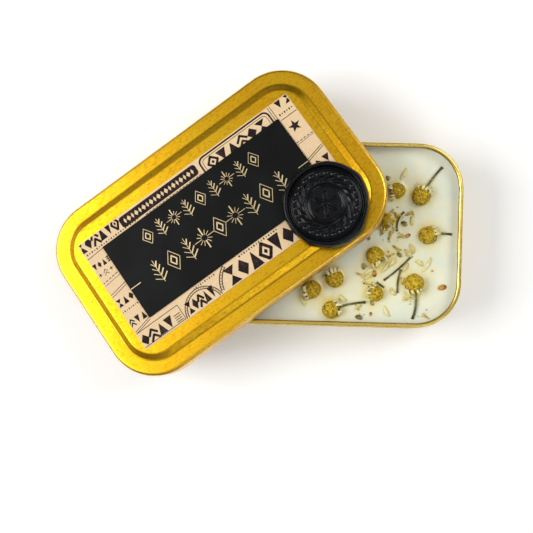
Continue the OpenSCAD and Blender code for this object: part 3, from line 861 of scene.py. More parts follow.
def build_stems(heads):
    """Ribbed stems; those with a flower start in its cup and darken to the cut end."""
    flowering, loose = Mesh(), Mesh()
    for points in islands("chamomile_stems"):
        line, _ = path_of(points, 14, 0.28)
        gaps = [min(np.linalg.norm(line[k][:2] - h[0][:2]) for h in heads) for k in (0, -1)]
        if gaps[1] < gaps[0]:
            line = line[::-1]
        line[:, 2] += np.linspace(0.35, 0.05, len(line))
        tone = np.linspace(0.75, 0.2, len(line)) + rng.uniform(-0.1, 0.1)
        tube(flowering, line, stem_profile(14, 0.36, 0.35), 15, 5, 0.12, tone)
    for points in islands("loose_stems"):
        line, _ = path_of(points, 12, 0.2)
        line[:, 2] += 0.25 * np.sin(np.linspace(0, math.pi, len(line)))
        tone = 0.28 + 0.2 * np.sin(np.linspace(0, 9, len(line))) + rng.uniform(-0.15, 0.15)
        tube(loose, line, stem_profile(12, 0.29, 0.25), 15, 5, 0.15, tone)
    olive = dried("stem_olive", (0.020, 0.014, 0.004), (0.16, 0.14, 0.022),
                  (0.42, 0.38, 0.07), 0.3, 0.05, 0.6, spread=0.22)
    flowering.make("flower_stems", WORLD, "base", "stem_olive", ["chamomile_stems"], olive)
    loose.make("stem_bits", WORLD, "base", "stem_olive", ["loose_stems"], olive)


def add_petal(mesh, line, width, twist, cup):
    """A shrivelled ray petal: narrow at its base, blunt at its tip, curled up."""
    share = np.linspace(0, 1, len(line))
    along = unit(line[-1] - line[0])
    flat = np.array([*left_of(along), 0.0])
    roll = twist * (share - 0.4)
    side = np.outer(np.cos(roll), flat) + np.outer(np.sin(roll), [0, 0, 1.0])
    widths = width * (0.35 + 0.65 * np.sin(math.pi * np.clip(0.12 + 0.7 * share, 0, 0.9)))
    lift = 0.18 + 0.55 * np.sin(math.pi * share) ** 2 * rng.uniform(0.4, 1.2)
    line = line + np.outer(lift, [0, 0, 1.0])
    tone = 0.7 - 0.35 * abs(share - 0.5) + rng.uniform(-0.15, 0.15)
    ribbon(mesh, line, side, widths, 0.1, cup, tone)


def build_petals(stubs):
    for points in islands("ray_petals"):
        line, width = path_of(points, 11)
        if rng.random() < 0.5:
            line = line[::-1]
        sway = rng.uniform(-0.5, 0.5) * np.sin(math.pi * np.linspace(0, 1, len(line)))
        across = np.cross(line[-1] - line[0], [0, 0, 1.0])
        line = line + np.outer(sway, unit(across))
        add_petal(stubs, line, width * rng.uniform(0.75, 1.05), rng.uniform(-1.4, 1.4),
                  rng.uniform(0.1, 0.35))
    cream = dried("petal_cream", (0.30, 0.17, 0.02), (0.80, 0.66, 0.20), (0.95, 0.90, 0.60),
                  0.35, 0.03, 0.6, sheer=0.25, spread=0.2)
    stubs.make("petals_dried", WORLD, "base", "petal_cream", ["ray_petals"], cream)


def add_floret(mesh, line, scale, tone):
    """A tube floret: a slim tube that opens into five lobes."""
    share = np.linspace(0, 1, len(line))
    radii = scale * (0.26 + 0.10 * np.sin(math.pi * share) + 0.30 * smooth_step((share - 0.62) / 0.38))
    lobes = 0.05 + 0.40 * smooth_step((share - 0.7) / 0.3)
    tube(mesh, line, radii, 20, 5, lobes, tone + 0.25 * (share - 0.5))


def crumb(mesh, centre, size, tone):
    """A small irregular crumb of a floret or bract."""
    rows, columns = 5, 8
    points = []
    for polar in np.linspace(0.25, math.pi - 0.25, rows):
        for a in turns(columns):
            reach = size * rng.uniform(0.7, 1.15)
            points.append([reach * math.sin(polar) * math.cos(a),
                           0.7 * reach * math.sin(polar) * math.sin(a),
                           0.6 * reach * math.cos(polar)])
    turn = rng.uniform(0, math.pi)
    spin = np.array([[math.cos(turn), math.sin(turn), 0], [-math.sin(turn), math.cos(turn), 0],
                     [0, 0, 1]])
    mesh.add(np.array(points) @ spin + centre, tube_faces(rows, columns), tone)


def build_florets():
    mesh = Mesh()
    for points in islands("disc_florets"):
        line, _ = path_of(points, 10, 0.3)
        if rng.random() < 0.5:
            line = line[::-1]
        line[:, 2] += rng.uniform(0, 0.3) * np.linspace(0, 1, len(line))
        add_floret(mesh, line, rng.uniform(0.85, 1.1), rng.uniform(0.4, 0.75))
        for _ in range(4):
            offset = np.array([*rng.normal(0, 1.3, 2), 0.1])
            crumb(mesh, line[5] + offset - [0, 0, 0.3], rng.uniform(0.16, 0.42),
                  rng.uniform(0.05, 0.9))
    gold = dried("floret_gold", (0.08, 0.035, 0.004), (0.62, 0.42, 0.04), (0.92, 0.78, 0.30),
                 0.25, 0.04, 0.65)
    mesh.make("florets", WORLD, "base", "floret_gold", ["disc_florets"], gold)


def build_broken_head(yellow):
    """A head torn open: a pitted half shell with its florets spilling out."""
    low, high = row_box("broken_head")
    centre = (low + high) / 2
    size = (high - low)[:2].max()
    mesh = Mesh()
    rows, columns = 34, 60
    outer, tones = dome_points(size, rows, columns, 200, 1.75, 0.28, 0.08)
    keep = int(columns * 0.58)
    frame_at = head_frame(np.array([*centre[:2], WAX_Z + 0.3]), np.array([0.6, 0.8]), 1.15)
    outer = outer.reshape(rows, columns, 3)[:, :keep]
    tones = tones.reshape(rows, columns)[:, :keep]
    ragged = 1 - 0.25 * rng.random((1, keep, 1)) * np.linspace(0, 1, rows)[:, None, None] ** 3
    outer = outer * ragged
    inner = outer * 0.72
    shell = np.concatenate([outer.reshape(-1, 3), inner.reshape(-1, 3)])
    tone = np.concatenate([tones.ravel(), np.full(rows * keep, 0.85)])
    mesh.add(frame_at.world(shell), doubled_faces(rows, keep), tone)
    for _ in range(16):
        turn = rng.uniform(0, 2 * math.pi)
        root = np.array([*(centre[:2] + rng.normal(0, 0.28 * size, 2)), WAX_Z + 0.2])
        tip = root + np.array([math.cos(turn), math.sin(turn), rng.uniform(0.1, 0.7)]) * 1.5
        share = np.linspace(0, 1, 8)[:, None]
        add_floret(mesh, root * (1 - share) + tip * share, 0.75, rng.uniform(0.35, 1.0))
    mesh.make("torn_head", WORLD, "base", "chamomile_yellow", ["broken_head"], yellow)


def build_bracts():
    mesh = Mesh()
    for points in islands("bract_flakes"):
        line, width = path_of(points, 8)
        share = np.linspace(0, 1, len(line))
        along = unit(line[-1] - line[0])
        side = np.array([-along[1], along[0], rng.uniform(-0.4, 0.4)])
        line[:, 2] += 0.22 + 0.35 * np.sin(math.pi * share)
        widths = width * (0.3 + 0.6 * np.sin(math.pi * (0.1 + 0.8 * share)))
        ribbon(mesh, line, side, widths, 0.12, 0.2, 0.3 + 0.5 * share)
        for _ in range(2):
            offset = np.array([*rng.normal(0, 1.1, 2), -0.2])
            crumb(mesh, line[4] + offset, rng.uniform(0.15, 0.35), rng.uniform(0.0, 0.6))
    brown = dried("bract_brown", (0.03, 0.02, 0.006), (0.20, 0.155, 0.035), (0.55, 0.48, 0.20),
                  0.3, 0.04, 0.65)
    mesh.make("bract_bits", WORLD, "base", "bract_brown", ["bract_flakes"], brown)


def build_seeds():
    mesh = Mesh()
    for points in islands("seeds"):
        line, width = path_of(points, 9, 0.25)
        share = np.linspace(0, 1, len(line))
        radii = 0.5 * width * np.sqrt(np.clip(np.sin(math.pi * (0.04 + 0.92 * share)), 0.05, 1))
        tube(mesh, line, radii, 16, 4, 0.10, 0.5 + 0.3 * np.sin(5 * share), 0.75)
    orange = dried("seed_orange", (0.10, 0.03, 0.004), (0.46, 0.19, 0.02), (0.75, 0.42, 0.10),
                   0.3, 0.04, 0.55)
    mesh.make("seed_bits", WORLD, "base", "seed_orange", ["seeds"], orange)


# ---------------------------------------------------------------- wax

def row_places(half_w, radius, step):
    """Row heights over a rounded rectangle, closer together where its corners turn."""
    straight = half_w - radius
    turns = np.linspace(0, math.pi / 2, max(5, int(radius * 1.35 / step)))
    corner = straight + radius * np.sin(turns)
    middle = np.linspace(-straight, straight, max(4, int(2 * straight / step)))
    return np.concatenate([-corner[::-1][:-1], middle, corner[1:]])


def rounded_grid(half_l, half_w, radius, rows, across):
    """X and Y over a rounded rectangle, row by row."""
    bend = np.maximum(abs(rows) - (half_w - radius), 0)
    reach = half_l - radius + np.sqrt(np.maximum(radius ** 2 - bend ** 2, 0))
    return np.outer(reach, across), np.repeat(rows[:, None], len(across), axis=1)


def wall_distance(x, y, half_l, half_w, radius):
    qx = np.abs(x) - half_l + radius
    qy = np.abs(y) - half_w + radius
    outside = np.hypot(np.maximum(qx, 0), np.maximum(qy, 0))
    return radius - outside - np.minimum(np.maximum(qx, qy), 0)


def wax_field(x, y, heads, bits, half_l, half_w, radius):
    """Height of the wax above its CAD surface, and how stained it is."""
    gap = np.maximum(wall_distance(x, y, half_l, half_w, radius), 0)
    height = 1.0 * np.exp(-gap / 1.6)
    height += 0.05 * np.sin(x / 6.1 + 0.7) * np.cos(y / 4.7) + 0.03 * np.sin(x / 2.3 - y / 3.1)
    stain = np.zeros_like(x)
    for centre, size, heading in heads:
        away = np.hypot(x - centre[0], y - centre[1]) - 0.47 * size
        height += 0.45 * np.exp(-(np.maximum(away, 0) / 0.55) ** 1.3)
        lean = (x - centre[0]) * heading[0] + (y - centre[1]) * heading[1]
        stain += 1.1 * np.exp(-np.maximum(away, 0) / 1.7) * (0.72 - 0.07 * lean)
    for centre in bits:
        away = np.hypot(x - centre[0], y - centre[1])
        height += 0.12 * np.exp(-(away / 0.9) ** 2)
        stain += 0.24 * np.exp(-away / 1.6)
    return height, np.clip(stain, 0, 0.85)


def build_wax(heads):
    low, high = row_box("wax_fill")
    base_low, base_high = row_box("tin_base")
    inset = NECK_STEP + SHEET
    half_l = (base_high[0] - base_low[0]) / 2 - inset
    half_w = (base_high[1] - base_low[1]) / 2 - inset
    radius = BODY_R - inset
    rows = row_places(half_w, radius, 0.42)
    count = 250
    across = np.linspace(-1, 1, count)
    across = np.sign(across) * (1 - (1 - abs(across)) ** 1.25)
    x, y = rounded_grid(half_l, half_w, radius, rows, across)
    bits = [p.mean(0) for n in ("disc_florets", "ray_petals", "bract_flakes", "broken_head",
                                "loose_stems", "seeds") for p in islands(n)]
    height, stain = wax_field(x, y, heads, bits, half_l, half_w, radius)
    top = np.column_stack([x.ravel(), y.ravel(), (high[2] + height).ravel()])
    faces = ring_faces(len(rows), count, closed=False)
    edge = grid_edge(len(rows), count)
    foot = top[edge].copy()
    foot[:, 2] = low[2] + 0.1
    size = len(top)
    for k in range(len(edge)):
        j = (k + 1) % len(edge)
        faces.append([edge[j], edge[k], size + k, size + j])
    faces.append([size + k for k in range(len(edge))])
    mesh = Mesh()
    mesh.add(np.concatenate([top, foot]), faces,
             np.concatenate([stain.ravel(), np.zeros(len(foot))]))
    mesh.make("wax", WORLD, "base", "soy_wax", ["wax_fill"], soy_wax(), WAX_SHARP)


# ---------------------------------------------------------------- paper, card and print

def rounded_sheet(mesh, low, high, radius):
    """A thin sheet with rounded corners and a slight wave, solid through its thickness."""
    half_l = (high[0] - low[0]) / 2
    half_w = (high[1] - low[1]) / 2
    middle = (np.array(low) + np.array(high)) / 2
    rows = row_places(half_w, radius, SHEET_STEP)
    count = int(2 * half_l / SHEET_STEP)
    x, y = rounded_grid(half_l, half_w, radius, rows, np.linspace(-1, 1, count))
    waves = np.sin(x / 9.0 + y / 5.0) + np.sin(x / 4.0 - y / 7.0)
    lift = SHEET_WAVE * waves / 4 - SHEET_WAVE / 2
    top = np.column_stack([x.ravel() + middle[0], y.ravel() + middle[1],
                           (high[2] + lift).ravel()])
    under = top.copy()
    under[:, 2] = low[2]
    mesh.add(np.concatenate([top, under]), doubled_faces(len(rows), count))


class Artwork:
    """Flat closed shapes of one thickness, clipped to a rectangle and kept off another."""

    def __init__(self, z, thickness, clip, hole=None):
        self.mesh = Mesh()
        self.z = z
        self.thickness = thickness
        self.clip = clip
        self.hole = hole

    def shape(self, loop):
        """One convex shape, cut to the clip rectangle."""
        loop = clip_loop(loop, self.clip)
        if len(loop) < 3:
            return
        pieces = [loop] if self.hole is None else outside_hole(loop, self.hole)
        for piece in pieces:
            if len(piece) < 3 or abs(loop_area(piece)) < 0.004:
                continue
            flat = np.array(piece)
            count = len(flat)
            top = np.column_stack([flat, np.full(count, self.z + self.thickness)])
            under = np.column_stack([flat, np.full(count, self.z)])
            faces = [list(range(count)), [count + i for i in range(count)][::-1]]
            faces += [[i, count + i, count + (i + 1) % count, (i + 1) % count]
                      for i in range(count)]
            self.mesh.add(np.concatenate([top, under]), faces)

    def bar(self, a, b, width):
        a, b = np.array(a, float), np.array(b, float)
        along = (b - a) / max(np.linalg.norm(b - a), 1e-6)
        side = np.array([-along[1], along[0]]) * width / 2
        self.shape([a - side, b - side, b + side, a + side])

    def line(self, points, width, closed=False):
        points = [np.array(p, float) for p in points]
        ends = points[1:] + (points[:1] if closed else [])
        for a, b in zip(points, ends):
            step = (b - a) / max(np.linalg.norm(b - a), 1e-6) * width / 2
            self.bar(a - step * 0.5, b + step * 0.5, width)

    def dashes(self, a, b, width, dash, gap):
        a, b = np.array(a, float), np.array(b, float)
        length = np.linalg.norm(b - a)
        along = (b - a) / length
        at = 0.0
        while at < length:
            self.bar(a + along * at, a + along * min(at + dash, length), width)
            at += dash + gap

    def disc(self, centre, radius, sides=20):
        turn = turns(sides)
        self.shape([(centre[0] + radius * math.cos(t), centre[1] + radius * math.sin(t))
                    for t in turn])

    def ring(self, centre, radius, width, start=0, end=360, steps=28):
        turn = np.radians(np.linspace(start, end, steps))
        inner, outer = radius - width / 2, radius + width / 2
        for a, b in zip(turn[:-1], turn[1:]):
            self.shape([(centre[0] + r * math.cos(t), centre[1] + r * math.sin(t))
                        for r, t in ((inner, a), (outer, a), (outer, b), (inner, b))])

    def star(self, centre, radius, tips=5, share=0.40):
        for k in range(tips):
            turn = math.pi / 2 + 2 * math.pi * k / tips
            half = math.pi / tips
            self.shape([centre,
                        (centre[0] + share * radius * math.cos(turn - half),
                         centre[1] + share * radius * math.sin(turn - half)),
                        (centre[0] + radius * math.cos(turn),
                         centre[1] + radius * math.sin(turn)),
                        (centre[0] + share * radius * math.cos(turn + half),
                         centre[1] + share * radius * math.sin(turn + half))])

    def frame(self, low, high, width, radius=0.0):
        (x0, y0), (x1, y1) = low, high
        points = []
        for cx, cy, start in ((x1 - radius, y0 + radius, -90), (x1 - radius, y1 - radius, 0),
                              (x0 + radius, y1 - radius, 90), (x0 + radius, y0 + radius, 180)):
            points += arc((cx, cy), radius, start, start + 90, 7 if radius else 1)
        self.line(points, width, closed=True)


def clip_loop(loop, box):
    """Cuts a convex loop to a box of (x0, y0, x1, y1)."""
    x0, y0, x1, y1 = box
    for axis, limit, sign in ((0, x0, 1), (0, x1, -1), (1, y0, 1), (1, y1, -1)):
        loop = cut_loop(loop, axis, limit, sign)
    return loop


def cut_loop(loop, axis, limit, sign):
    """Keeps the part of a convex loop on one side of an axis-aligned line."""
    kept = []
    for a, b in zip(loop, list(loop[1:]) + list(loop[:1])):
        a, b = np.asarray(a, float), np.asarray(b, float)
        da, db = sign * (a[axis] - limit), sign * (b[axis] - limit)
        if da >= 0:
            kept.append(a)
        if (da > 0 > db) or (da < 0 < db):
            kept.append(a + (b - a) * da / (da - db))
    return kept


def outside_hole(loop, hole):
    """The parts of a convex loop outside a box, as up to four convex loops."""
    x0, y0, x1, y1 = hole
    left = cut_loop(loop, 0, x0, -1)
    right = cut_loop(loop, 0, x1, 1)
    between = cut_loop(cut_loop(loop, 0, x0, 1), 0, x1, -1)
    return [left, right, cut_loop(between, 1, y0, -1), cut_loop(between, 1, y1, 1)]


def loop_area(loop):
    x, y = np.array(loop).T
    return 0.5 * float(np.dot(x, np.roll(y, -1)) - np.dot(y, np.roll(x, -1)))


def motif(art, kind, x, y, w, h, weight):
    """One abstract printed ornament in the cell whose lower left corner is (x, y)."""
    cx, cy = x + w / 2, y + h / 2
    if kind == "lozenge":
        art.shape([(x, cy), (cx, y), (x + w, cy), (cx, y + h)])
    elif kind == "open_lozenge":
        art.line([(x, cy), (cx, y), (x + w, cy), (cx, y + h)], weight, True)
        art.shape([(cx - w * 0.16, cy), (cx, cy - h * 0.16), (cx + w * 0.16, cy),
                   (cx, cy + h * 0.16)])
    elif kind == "peak":
        art.shape([(x, y), (x + w, y), (cx, y + h)])
    elif kind == "cup":
        art.shape([(cx, y), (x + w, y + h), (x, y + h)])
    elif kind == "chevron":
        for s in (0, 0.5):
            art.line([(x, y + h * s), (cx, y + h * (s + 0.45)), (x + w, y + h * s)], weight)
    elif kind == "hourglass":
        art.shape([(x, y), (x + w, y), (cx, cy)])
        art.shape([(x, y + h), (cx, cy), (x + w, y + h)])
    elif kind == "grid":
        for s in (0.15, 0.5, 0.85):
            art.bar((x, y + h * s), (x + w, y + h * s), weight * 0.8)
        art.bar((cx, y), (cx, y + h), weight * 0.8)
    elif kind == "spark":
        art.star((cx, cy), min(w, h) * 0.55, 4, 0.3)
    elif kind == "dot":
        art.disc((cx, cy), min(w, h) * 0.36)


def motif_row(art, x0, x1, y0, y1, kinds, weight, gap=0.22):
    """A row of ornaments between x0 and x1, with a share of each cell left as a gap."""
    step = (x1 - x0) / len(kinds)
    for k, kind in enumerate(kinds):
        motif(art, kind, x0 + k * step, y0, step * (1 - gap), y1 - y0, weight)


BOLD = ("hourglass", "lozenge", "chevron", "peak", "cup", "open_lozenge")


WIDE = ("hourglass", "lozenge", "peak", "open_lozenge", "cup", "lozenge")
BEADS = ("lozenge", "dot")
DOTS = ("dot", "lozenge")


def motif_rows(art, rows):
    for row in rows:
        motif_row(art, *row)


def twin_rule(art, x0, x1, y0, y1, apart, width):
    """Two parallel slanting rules, one above the other."""
    for offset in (0.0, apart):
        art.bar((x0, y0 + offset), (x1, y1 + offset), width)


def beaded_arc(art, centre, radius, start, end, count, size):
    for t in np.radians(np.linspace(start, end, count)):
        art.disc((centre[0] + radius * math.cos(t), centre[1] + radius * math.sin(t)), size, 8)


def print_upper_edge(art, half_l, half_w, left, right, top):
    """Bold motifs, a pill of ornaments, a dashed rule and a framed ticket."""
    motif_rows(art, [
        (-half_l - 0.5, left + 9.4, top + 1.9, top + 6.6, BOLD, 0.8, 0.08),
        (-half_l + 0.8, left + 16, top + 0.35, top + 1.3, BEADS * 11, 0.15, 0.4),
    ])
    pill(art, (left + 9.6, top + 0.9), (left + 41.5, top + 4.9), 1.1)
    art.dashes((left + 18.5, top + 0.35), (left + 42, top + 0.35), 0.22, 0.9, 0.5)
    art.frame((left + 43.2, top - 3), (right - 1.8, top + 4.9), 0.6, 2.0)
    art.frame((left + 44.2, top - 3), (right - 2.8, top + 4.0), 0.18, 1.5)
    motif_row(art, left + 45.5, right - 3.6, top - 0.6, top + 3.4, BOLD[::-1], 0.8, 0.06)
    for offset in (-0.9, -0.1):
        art.bar((right + offset, top - 0.5), (right + offset, half_w), 0.2)


def print_right_edge(art, half_l, right, top):
    """Motifs, a star, and rules that slant across the strip beside the card."""
    motif_rows(art, [
        (right + 1.6, half_l + 1.5, top + 2.6, top + 5.8, ("cup", "hourglass"), 0.5),
        (right + 0.9, half_l - 0.4, top + 0.2, top + 1.2, BEADS * 3, 0.15, 0.3),
    ])
    art.bar((right + 0.6, top - 1.1), (half_l, top - 1.1), 0.25)
    art.star((right + 3.2, top - 5.2), 2.3)
    art.dashes((right + 0.3, top - 10.4), (half_l, top - 10.4), 0.25, 0.9, 0.5)
    art.bar((right + 0.2, top - 11.2), (half_l, top - 10.9), 0.15)
    twin_rule(art, right, half_l, top - 17.8, top - 16.2, 0.7, 0.22)
    motif_row(art, right + 0.7, half_l + 0.4, top - 21.6, top - 19.0, ("lozenge", "cup"), 0.4)


def print_left_edge(art, half_l, left, bottom, top):
    """Short rows of motifs between rules and dashes that slant down the strip."""
    art.bar((-half_l, top - 0.6), (left, top - 0.2), 0.22)
    motif_rows(art, [
        (-half_l + 0.3, left + 0.6, top - 5.4, top - 3.1, ("cup", "lozenge", "peak", "grid"), 0.4),
        (-half_l + 0.3, left, top - 8.6, top - 6.5, ("spark", "chevron", "spark"), 0.2, 0.3),
    ])
    art.dashes((-half_l, top - 10.6), (left, top - 9.9), 0.28, 0.9, 0.5)
    art.bar((-half_l, top - 11.7), (left, top - 11.0), 0.15)
    twin_rule(art, -half_l, left, top - 16.3, top - 15.1, 0.9, 0.2)
    motif_rows(art, [
        (-half_l + 0.4, left + 0.3, top - 20.6, top - 17.9, ("hourglass", "peak", "lozenge"), 0.5),
        (-half_l + 0.2, left, top - 23.0, top - 22.1, DOTS * 4, 0.12, 0.4),
        (-half_l + 0.2, left + 0.3, top - 28.4, top - 25.8, ("chevron", "cup", "peak"), 0.45),
    ])
    twin_rule(art, -half_l, left, bottom - 2.0, bottom - 0.4, 0.7, 0.2)


def print_lower_edge(art, half_l, half_w, left, bottom):
    """A framed ticket, a stamp between arcs, and a bold row."""
    art.frame((-half_l - 1, -half_w + 0.6), (left + 10.0, bottom - 1.9), 0.22)
    motif_row(art, -half_l + 0.2, left + 6.4, -half_w + 0.8, bottom - 3.2, BOLD[1:5], 0.8, 0.06)
    for k in range(4):
        y = -half_w + 1.2 + 0.8 * k
        art.bar((left + 6.9, y), (left + 9.4, y), 0.28)
    stamp = (left + 17.6, -half_w - 0.4)
    for radius in (7.2, 6.4):
        art.ring(stamp, radius, 0.3, 5, 175, 22)
    beaded_arc(art, stamp, 6.8, 12, 168, 22, 0.16)
    motif_rows(art, [
        (left + 12.0, left + 23.4, -half_w + 0.8, -half_w + 4.9, BOLD[:5], 0.8, 0.06),
        (left + 17.5, left + 26.5, bottom - 1.3, bottom - 0.4, DOTS * 5, 0.12, 0.4),
    ])
    postmark = (left + 34.5, -half_w - 0.6)
    for radius in (9.6, 8.7):
        art.ring(postmark, radius, 0.35, 118, 170, 12)
    beaded_arc(art, postmark, 9.15, 120, 168, 9, 0.17)
    motif_rows(art, [
        (left + 28.8, left + 56.0, -half_w + 0.4, bottom - 1.6, WIDE, 1.1, 0.06),
        (left + 36.0, left + 52.0, bottom - 1.3, bottom - 0.35, BEADS * 8, 0.12, 0.35),
    ])


def draw_print(art, half_l, half_w, card):
    """Vintage ticket ornament on the strips of paper that show round the card."""
    left, bottom, right, top = card
    print_upper_edge(art, half_l, half_w, left, right, top)
    print_right_edge(art, half_l, right, top)
    print_left_edge(art, half_l, left, bottom, top)
    print_lower_edge(art, half_l, half_w, left, bottom)


def pill(art, low, high, radius):
    """A black rounded strip with a row of light ornaments left open in it."""
    (x0, y0), (x1, y1) = low, high
    middle = (y0 + y1) / 2
    tall = 1.05
    a, b = x0 + radius, x1 - radius
    for inner, edge in ((middle - tall, y0), (middle + tall, y1)):
        art.shape([(a, inner), (b, inner), (b, edge), (a, edge)])
    for cx, sign in ((x0 + radius, -1), (x1 - radius, 1)):
        turns = np.radians(np.linspace(-90, 90, 13))
        art.shape([(cx + sign * radius * math.cos(t),
                    middle + (y1 - middle - radius) * math.copysign(1, t) + radius * math.sin(t))
                   for t in turns])
    count = 19
    step = (x1 - x0 - 2 * radius) / count
    for k in range(count):
        a = x0 + radius + k * step
        b = a + step
        cx = (a + b) / 2
        reach = 0.5 * step if k % 2 else 0.32 * step
        for sx, far in ((-1, a), (1, b)):
            tip = cx + sx * reach * 0.96
            art.shape([(far, middle - tall), (cx, middle - tall), (tip, middle), (far, middle)])
            art.shape([(far, middle), (tip, middle), (cx, middle + tall), (far, middle + tall)])


def build_paper():
    low, high = extent("ticket_paper", lid)
    card = extent("black_card", lid)
    mesh = Mesh()
    rounded_sheet(mesh, low, high, PAPER_CORNER_R)
    mesh.make("kraft_ticket", lid, "lid", "kraft_paper", ["ticket_paper"], kraft_paper(),
              SHEET_SHARP)
    hole = (card[0][0] + 0.4, card[0][1] + 0.4, card[1][0] - 0.4, card[1][1] - 0.4)
    edge = 0.25
    clip = (low[0] + edge, low[1] + edge, high[0] - edge, high[1] - edge)
    art = Artwork(high[2] - 0.015, 0.03, clip, hole)
    draw_print(art, high[0], high[1], (card[0][0], card[0][1], card[1][0], card[1][1]))
    art.mesh.make("ticket_artwork", lid, "lid", "printing_ink", ["ticket_print"],
                  printing_ink(), PRINT_SHARP)


def foil_unit(art, kind, x, y, w, h, fine, bold):
    """One plain foil ornament: a sprig, a burst of rays or two nested lozenges."""
    cx, cy = x + w / 2, y + h / 2
    if kind == "sprig":
        art.bar((cx, y), (cx, y + h), fine)
        for k in range(4):
            root = y + h * (0.10 + 0.2 * k)
            spread = w * (0.44 - 0.08 * k)
            for side, width in ((-1, fine), (1, bold)):
                art.bar((cx, root), (cx + side * spread, root + h * 0.2), width)
    elif kind == "burst":
        for k in range(12):
            t = math.radians(30 * k)
            inner, outer = 0.12 * h, (0.46 if k % 3 == 0 else 0.32) * h
            art.bar((cx + inner * math.cos(t), cy + inner * math.sin(t)),
                    (cx + outer * math.cos(t), cy + outer * math.sin(t)),
                    bold if k % 6 == 3 else fine)
    elif kind == "lozenge":
        for share, width in ((0.9, fine), (0.42, bold)):
            art.line([(cx - share * w / 2, cy), (cx, cy - share * h / 2),
                      (cx + share * w / 2, cy), (cx, cy + share * h / 2)], width, True)


def foil_row(art, x0, x1, y0, y1, kinds, fine, bold):
    gap = 0.9
    step = (x1 - x0) / len(kinds)
    for k, kind in enumerate(kinds):
        foil_unit(art, kind, x0 + k * step + gap / 2, y0, step - gap, y1 - y0, fine, bold)


def build_card():
    low, high = extent("black_card", lid)
    mesh = Mesh()
    rounded_sheet(mesh, low, high, CARD_CORNER_R)
    mesh.make("stamped_card", lid, "lid", "black_card", ["black_card"], black_card(), SHEET_SHARP)
    middle = (low[1] + high[1]) / 2
    art = Artwork(high[2] - 0.02, 0.04, (low[0], low[1], high[0], high[1]))
    upper = ["lozenge", "sprig", "burst", "sprig", "lozenge", "sprig", "burst", "sprig", "lozenge"]
    foil_row(art, -24.4, 24.8, middle + 5.0, middle + 11.6, upper, 0.17, 0.34)
    lower = ["sprig", "lozenge", "sprig", "burst", "lozenge", "burst", "sprig", "lozenge", "sprig"]
    foil_row(art, -28.4, 28.6, middle - 7.8, middle + 0.7, lower, 0.19, 0.42)
    for s in (-1, 1):
        art.bar((s * (high[0] - 0.2), middle - 3.1), (s * (high[0] - 4.2), middle - 3.1), 0.25)
    art.mesh.make("foil_artwork", lid, "lid", "champagne_foil", ["foil_ornament"],
                  champagne_foil(), PRINT_SHARP)


# ---------------------------------------------------------------- wax seal

def seal_rim(turn, reach):
    """The seal's outer radius, lobed as poured wax is."""
    lobes = 0.45 * np.sin(3 * turn + 0.6) + 0.30 * np.sin(5 * turn + 2.1)
    lobes += 0.16 * np.sin(9 * turn + 0.4) + 0.10 * np.sin(14 * turn)
    return reach - 0.55 + 0.55 * lobes


def seal_relief(r, turn):
    """Height of the stamped face above its floor: rings, beads and a plain blossom."""
    height = 0.42 * np.exp(-((r - 11.4) / 0.32) ** 2)
    height += 0.38 * np.exp(-((r - 6.4) / 0.28) ** 2) + 0.2 * np.exp(-((r - 5.5) / 0.18) ** 2)
    beads = 0.5 + 0.5 * np.cos(26 * turn)
    height += 0.34 * np.exp(-((r - 10.2) / 0.42) ** 2) * beads ** 2
    leaves = np.abs(np.sin(9 * turn + 1.6 * (r - 8.2)))
    height += 0.36 * np.exp(-((r - 8.3) / 0.85) ** 4) * smooth_step((leaves - 0.35) / 0.4)
    petals = 3.1 + 1.3 * np.cos(6 * turn)
    height += 0.55 * smooth_step((petals - r) / 0.5) * (0.55 + 0.45 * np.clip(r / 3.5, 0, 1))
    height -= 0.25 * smooth_step((0.30 - np.abs(r * np.sin(3 * turn)) * 0.5) / 0.3) \
        * smooth_step((petals - r) / 0.5)
    return height + 0.35 * smooth_step((1.15 - r) / 0.5)


def build_seal():
    low, high = extent("wax_seal", lid)
    middle = (low + high) / 2
    reach = (high[0] - low[0]) / 2
    around, rows = 420, 118
    turn = turns(around)
    outer = seal_rim(turn, reach)
    thick = high[2] - low[2]
    share = np.linspace(0.004, 1, rows)
    face = thick - 1.55
    points = []
    for s in share:
        r = STAMP_R * (s / 0.80) if s < 0.80 else STAMP_R + (outer - STAMP_R) * (s - 0.80) / 0.20
        r = np.broadcast_to(r, around)
        out = np.clip((r - STAMP_R) / (outer - STAMP_R), 0, 1)
        inner_wall = smooth_step((r - STAMP_R + 0.55) / 0.75)
        crest = thick * np.sqrt(np.clip(1 - np.maximum(out - 0.35, 0) ** 2 / 0.4225, 0, 1))
        crest = crest - 0.12 * (1 + np.sin(4 * turn + 1.0)) - 0.06 * np.sin(11 * turn)
        floor = face + seal_relief(r, turn) * (1 - inner_wall)
        z = np.maximum(floor * (1 - inner_wall) + crest * inner_wall, 0.25)
        points.append(np.column_stack([r * np.cos(turn), r * np.sin(turn), z]))
    foot = points[-1].copy()
    foot[:, :2] *= 0.975
    foot[:, 2] = 0.0
    points.append(foot)
    rings = np.concatenate(points)
    rings[:, 2] = np.minimum(rings[:, 2], thick) + low[2]
    rings[:, :2] += middle[:2]
    mesh = Mesh()
    mesh.add(rings, tube_faces(rows + 1, around))
    mesh.make("seal_stamped", lid, "lid", "black_sealing_wax", ["wax_seal"], sealing_wax(),
              SEAL_SHARP)


def dress_adhesives():
    glue = clear_adhesive()
    for name in ("paper_adhesive", "card_adhesive", "seal_adhesive"):
        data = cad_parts[name].data
        if data.materials:
            data.materials[0] = glue
        else:
            data.materials.append(glue)


# ---------------------------------------------------------------- studio

